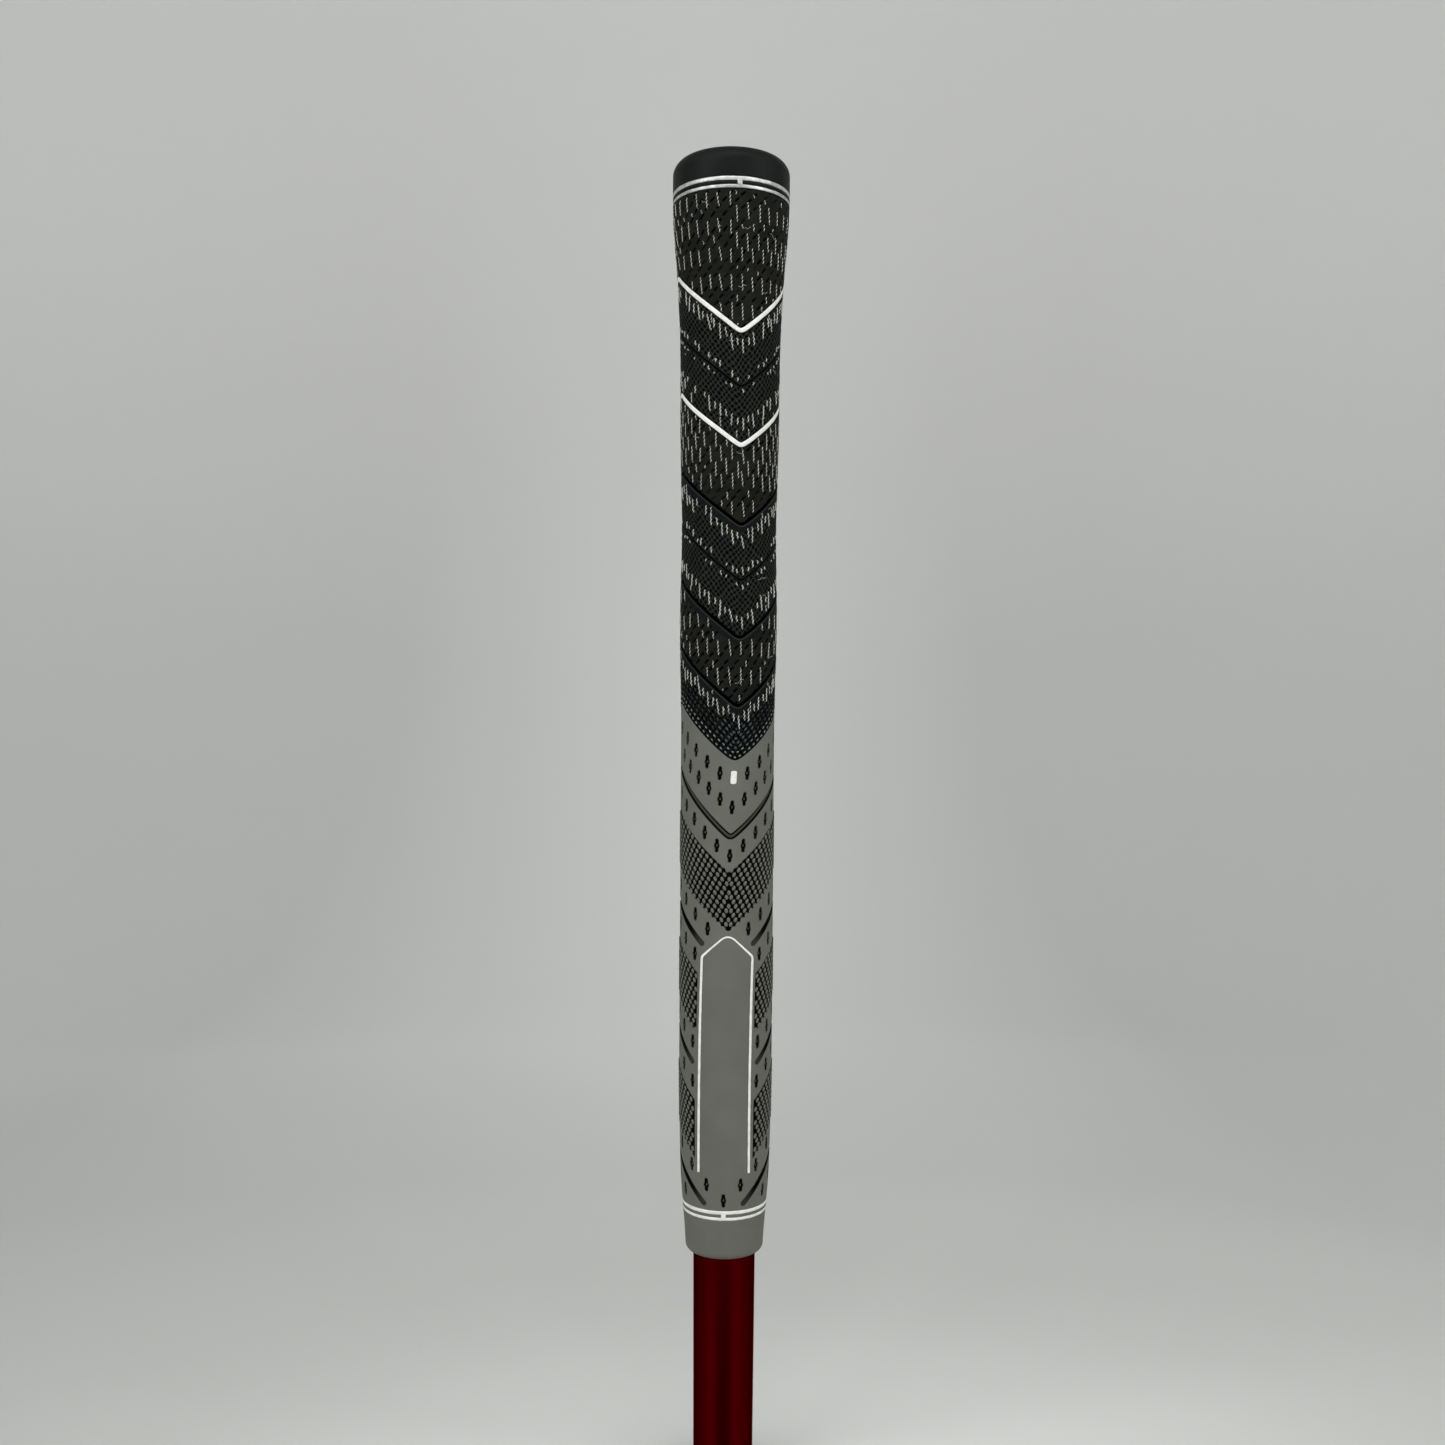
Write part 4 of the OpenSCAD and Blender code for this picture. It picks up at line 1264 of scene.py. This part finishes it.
points, faces = [], []
for n, pick in enumerate(chance.choice(len(all_dashes), fibres_tried, replace=False)):
    angle, middle = all_dashes[pick][:2] + chance.normal(0, (2.0, 1.2))
    if clear_of_lines(angle, middle + np.array([-1.0, 0.0, 1.0])).all():
        out = chance.uniform(0.4, 0.9) if n % 2 and middle < highest_loose_end else 0.0
        faces.append(quads(fibre_rings, fibre_sides, closed=False) + sum(map(len, points)))
        points.append(stray_fibre(angle, middle, chance.uniform(1.0, 2.4), chance.normal(0, 0.15),
                                  out).reshape(-1, 3))
fibres = mesh_of("stray_fibres", np.vstack(points), np.vstack(faces), finishes["yarn"])
belongs(fibres, "cotton_cord")
print(len(points), "stray fibres")

# %% [markdown]
# ## Painted lines
#
# Each painted line lies in its channel a hair below the rubber, and its edges wander by a few
# hundredths of a millimetre, because the paint is wiped in by hand. It could be a colour on the
# rubber, but paint has an edge of its own that catches light, so it is a strip with turned-down
# sides. One function draws them all: chevrons, rings, the panel's outline and the short bars.

# %% Draw strokes
# Across a strip: shares of its half width, and heights in mm. Its turned-down sides wander.
strip_section = ((-1, -0.12), (-0.9, -0.01), (-0.4, 0.004), (0.4, 0.004), (0.9, -0.01), (1, -0.12))
wander_mm, wander_length = 0.03, 1.6
below_rubber, over_rubber = -0.045, 0.012


def stroke(name, phi, height, width, finish, stands_for, closed=False, corner=0.1,
           lift=below_rubber):
    """A strip along a line of angles and heights. The width is one number or one for each point."""
    per_degree = np.radians(1) * radius_at(height)
    if closed:
        across = wrapped(np.roll(phi, -1) - np.roll(phi, 1)) / 2 * per_degree
        upward = (np.roll(height, -1) - np.roll(height, 1)) / 2
    else:
        across, upward = np.gradient(phi) * per_degree, np.gradient(height)
    size = np.hypot(across, upward)
    half = np.full(len(phi), 0.5) * width
    if not closed:
        steps = np.hypot(np.diff(phi) * per_degree[1:], np.diff(height))
        gone = np.concatenate([[0], np.cumsum(steps)])
        near = np.clip(corner - np.minimum(gone, gone[-1] - gone), 0, corner)
        half = half - corner + np.sqrt(corner ** 2 - near ** 2)
    seed = sum(map(ord, name))
    lines = []
    for side, low in strip_section:
        edge = wander_mm * ripple(phi, height, wander_length, seed + (side > 0))
        reach = side * (half + (edge if abs(side) > 0.8 else 0))
        lines.append(on_grip(phi - reach * upward / size / per_degree,
                             height + reach * across / size, lift + low))
    material, slot = finish
    thing = mesh_of(name, np.stack(lines, 0), quads(len(lines), len(phi), closed), material)
    belongs(thing, slot, stands_for)


white, silver = (finishes["white"], "white_paint"), (finishes["silver"], "silver_paint")


def chevron_stroke(name, tip, stands_for):
    phi = np.arange(1440) * 0.25
    stroke(name, phi, tip + climb(phi, tip), 2 * stripe_half, white, stands_for, closed=True)


def ring_stroke(name, band, finish, stands_for):
    phi = np.arange(1080) / 3
    stroke(name, phi, np.full(len(phi), sum(band) / 2), band[1] - band[0], finish, stands_for,
           closed=True)


def bar_stroke(name, low, high, width, finish, stands_for, corner):
    height = np.linspace(high, low, 60)
    stroke(name, 0 * height, height, width, finish, stands_for, corner=corner, lift=over_rubber)


chevron_stroke("chevron_line_lower", painted_chevrons[0], "chevron_lower")
chevron_stroke("chevron_line_upper", painted_chevrons[1], "chevron_upper")
ring_stroke("mouth_ring_lower", mouth_lines[0], white, "mouth_line_lower")
ring_stroke("mouth_ring_upper", mouth_lines[1], white, "mouth_line_upper")
into_ring = 0.2
bar_stroke("mouth_bar", mouth_lines[0][1] - into_ring, mouth_lines[1][0] + into_ring, 1.25, white,
           "mouth_line_tick", 0.05)
bar_stroke("mark_bar", joint_tip - 5.75, joint_tip - 2.65, 1.6, white, "alignment_mark", 0.45)

# %% [markdown]
# ## The panel's outline
#
# The bare panel on the lower hand is framed by one painted line, open at the bottom, with a round
# peak. A curve object could draw it with fillets, but it would then have to be wrapped onto the
# grip. Here the line is worked out flat, in mm, and its points are turned to angles.

# %% Draw the panel's outline
def rounded(points, radii):
    """A line through corner points, with each corner eased over its radius in mm."""
    points = [np.array(p, float) for p in points]
    line = [points[0]]
    for before, corner, after, radius in zip(points[:-2], points[1:-1], points[2:], radii):
        start = corner + (before - corner) * radius / np.linalg.norm(before - corner)
        stop = corner + (after - corner) * radius / np.linalg.norm(after - corner)
        line += [(1 - t) ** 2 * start + 2 * t * (1 - t) * corner + t * t * stop
                 for t in np.linspace(0, 1, 17)]
    line.append(points[-1])
    line = np.array(line)
    gone = np.concatenate([[0], np.cumsum(np.linalg.norm(np.diff(line, axis=0), axis=1))])
    even = np.arange(0, gone[-1], 0.15)
    return np.stack([np.interp(even, gone, line[:, i]) for i in (0, 1)], -1)


panel_half, panel_low, panel_shoulder, panel_peak = 6.45, 21.3, 73.6, 79.35
outline = rounded([(panel_half, panel_low), (panel_half, panel_shoulder), (0, panel_peak),
                   (-panel_half, panel_shoulder), (-panel_half, panel_low)], (0.6, 2.4, 0.6))
panel_phi = outline[:, 0] / (np.radians(1) * radius_at(outline[:, 1]))
panel_width = np.interp(outline[:, 1], [panel_shoulder - 1, panel_shoulder + 1, panel_peak - 1],
                        [0.74, 0.56, 0.42])
stroke("panel_line", panel_phi, outline[:, 1], panel_width, white, "panel_outline", lift=0.02)
print("the panel is", 2 * panel_half, "mm wide and", round(panel_peak - panel_low, 2), "mm high")

# %% [markdown]
# ## End cap
#
# The cap is moulded in a round cavity: a short skirt, a rounded shoulder, a flat crown and the
# vent hole that lets the tape's solvent and the air out when the grip is slid on. A cylinder with
# bevels comes close, but a profile turned on a lathe gives each radius as it is, and the two
# channels for the silver rings with it.

# %% Turn the cap
def lathe_piece(name, profile, material, slot, stands_for, around):
    """A turned piece from a profile of radii and heights in mm, heights from the frame's origin."""
    points = turned_on_lathe(profile, around) * mm
    belongs(mesh_of(name, points, quads(len(profile), around), material), slot, stands_for)


cap_lines = ((grip_length - 10.8, grip_length - 9.95), (grip_length - 9.05, grip_length - 8.0))
shoulder_r, vent_r, rim_r, cap_floor = 3.7, 1.5, 0.2, grip_length - 6


def cap_profile():
    """Radii and heights in mm from the seam, up the skirt, over the crown and down the vent."""
    top = grip_length
    edge_r = float(radius_at(np.array(top - shoulder_r)))
    heights = [cap_seam]
    for low, high in cap_lines:
        heights += [low - 0.03, low + 0.06, high - 0.06, high + 0.03]
    heights += list(np.linspace(heights[-1] + 0.3, top - shoulder_r, 16))
    skirt = [(float(radius_at(np.array(h))), h) for h in heights]
    for k in (2, 3, 6, 7):
        skirt[k] = (skirt[k][0] - inlay, skirt[k][1])
    seam = skirt.pop(0)[0]
    broken_edge = 0.12
    hem = [(seam - 1.0, cap_seam), (seam - broken_edge, cap_seam), (seam, cap_seam + broken_edge)]
    crown = [(edge_r - shoulder_r * (1 - math.cos(a)), top - shoulder_r * (1 - math.sin(a)))
             for a in np.radians(np.linspace(4, 90, 25))]
    flat = [(r, top) for r in np.linspace(edge_r - shoulder_r - 0.3, vent_r + 2 * rim_r, 10)]
    rim = [(vent_r + rim_r * (1 - math.sin(a)), top - rim_r * (1 - math.cos(a)))
           for a in np.radians((15, 45, 75))]
    hole = [(vent_r, h) for h in np.linspace(top - 0.25, cap_floor, 8)] + [(shaft_r, cap_floor)]
    return [(r, h + mouth_z) for r, h in hem + skirt + crown + flat + rim + hole]


lathe_piece("cap_body", cap_profile(), finishes["black"], "black_rubber", "end_cap", 360)
ring_stroke("cap_ring_lower", cap_lines[0], silver, "cap_line_lower")
ring_stroke("cap_ring_upper", cap_lines[1], silver, "cap_line_upper")
bar_stroke("cap_bar", cap_lines[0][1] - into_ring, cap_lines[1][0] + into_ring, 1.2, silver,
           "cap_line_tick", 0.05)

# %% [markdown]
# ## The shaft
#
# The club's butt is a thin tube with a slight taper below the grip. A cone would do for the part
# that shows, but the tube is turned whole, with its bore, because its cut end can be seen from
# below. It has many short rings, so that the sheen runs straight along it, and a small chamfer,
# because a saw cut is always broken with a file.

# %% Turn the shaft
def tube_profile():
    """Outer wall from the cut end to the butt, then back down the bore."""
    cut_r, socket_r, bore_r, chamfer, gap_to_cap = 7.28, 6.0, 6.3, 0.15, 0.15
    butt_top = cap_floor - gap_to_cap + mouth_z
    outer = [(cut_r - chamfer, 0.0), (cut_r, chamfer)]
    outer += [(cut_r + (shaft_r - cut_r) * t, mouth_z * t) for t in np.linspace(0.02, 1, 40)]
    outer += [(shaft_r, h) for h in np.linspace(mouth_z + 2, butt_top, 40)]
    inner = [(bore_r, butt_top), (bore_r, mouth_z), (socket_r, mouth_z), (socket_r, chamfer),
             (socket_r + chamfer, 0.0)]
    return outer + inner + outer[:1]


lathe_piece("shaft", tube_profile(), finishes["lacquer"], "red_lacquer", "shaft_tube", 180)

# %% [markdown]
# ## The layers inside
#
# Tape, rubber core and cord cloth lie under the skin and show only when the grip is taken apart.
# They could be left out of the dressing, but somebody may well take it apart, so their solids
# stay as they are and only get the finish of the real thing.

# %% Finishes of the hidden layers
hidden = {"grip_tape": "tape", "rubber_core": "black", "cord_fabric": "canvas"}
for node, finish in hidden.items():
    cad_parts[node].data.materials.clear()
    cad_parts[node].data.materials.append(finishes[finish])
    print(node, "wears", finish)

# %% [markdown]
# ## Sizes
#
# Dressing must not change the size. The box of the dressed grip is written beside the box of the
# bare solids, so that the two can be compared. They differ only where yarn stands proud of the
# rubber.

# %% Sizes and the end
visual_box = [list(corner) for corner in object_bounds()]
print("visual box in mm:", [[round(x / mm, 2) for x in corner] for corner in visual_box])
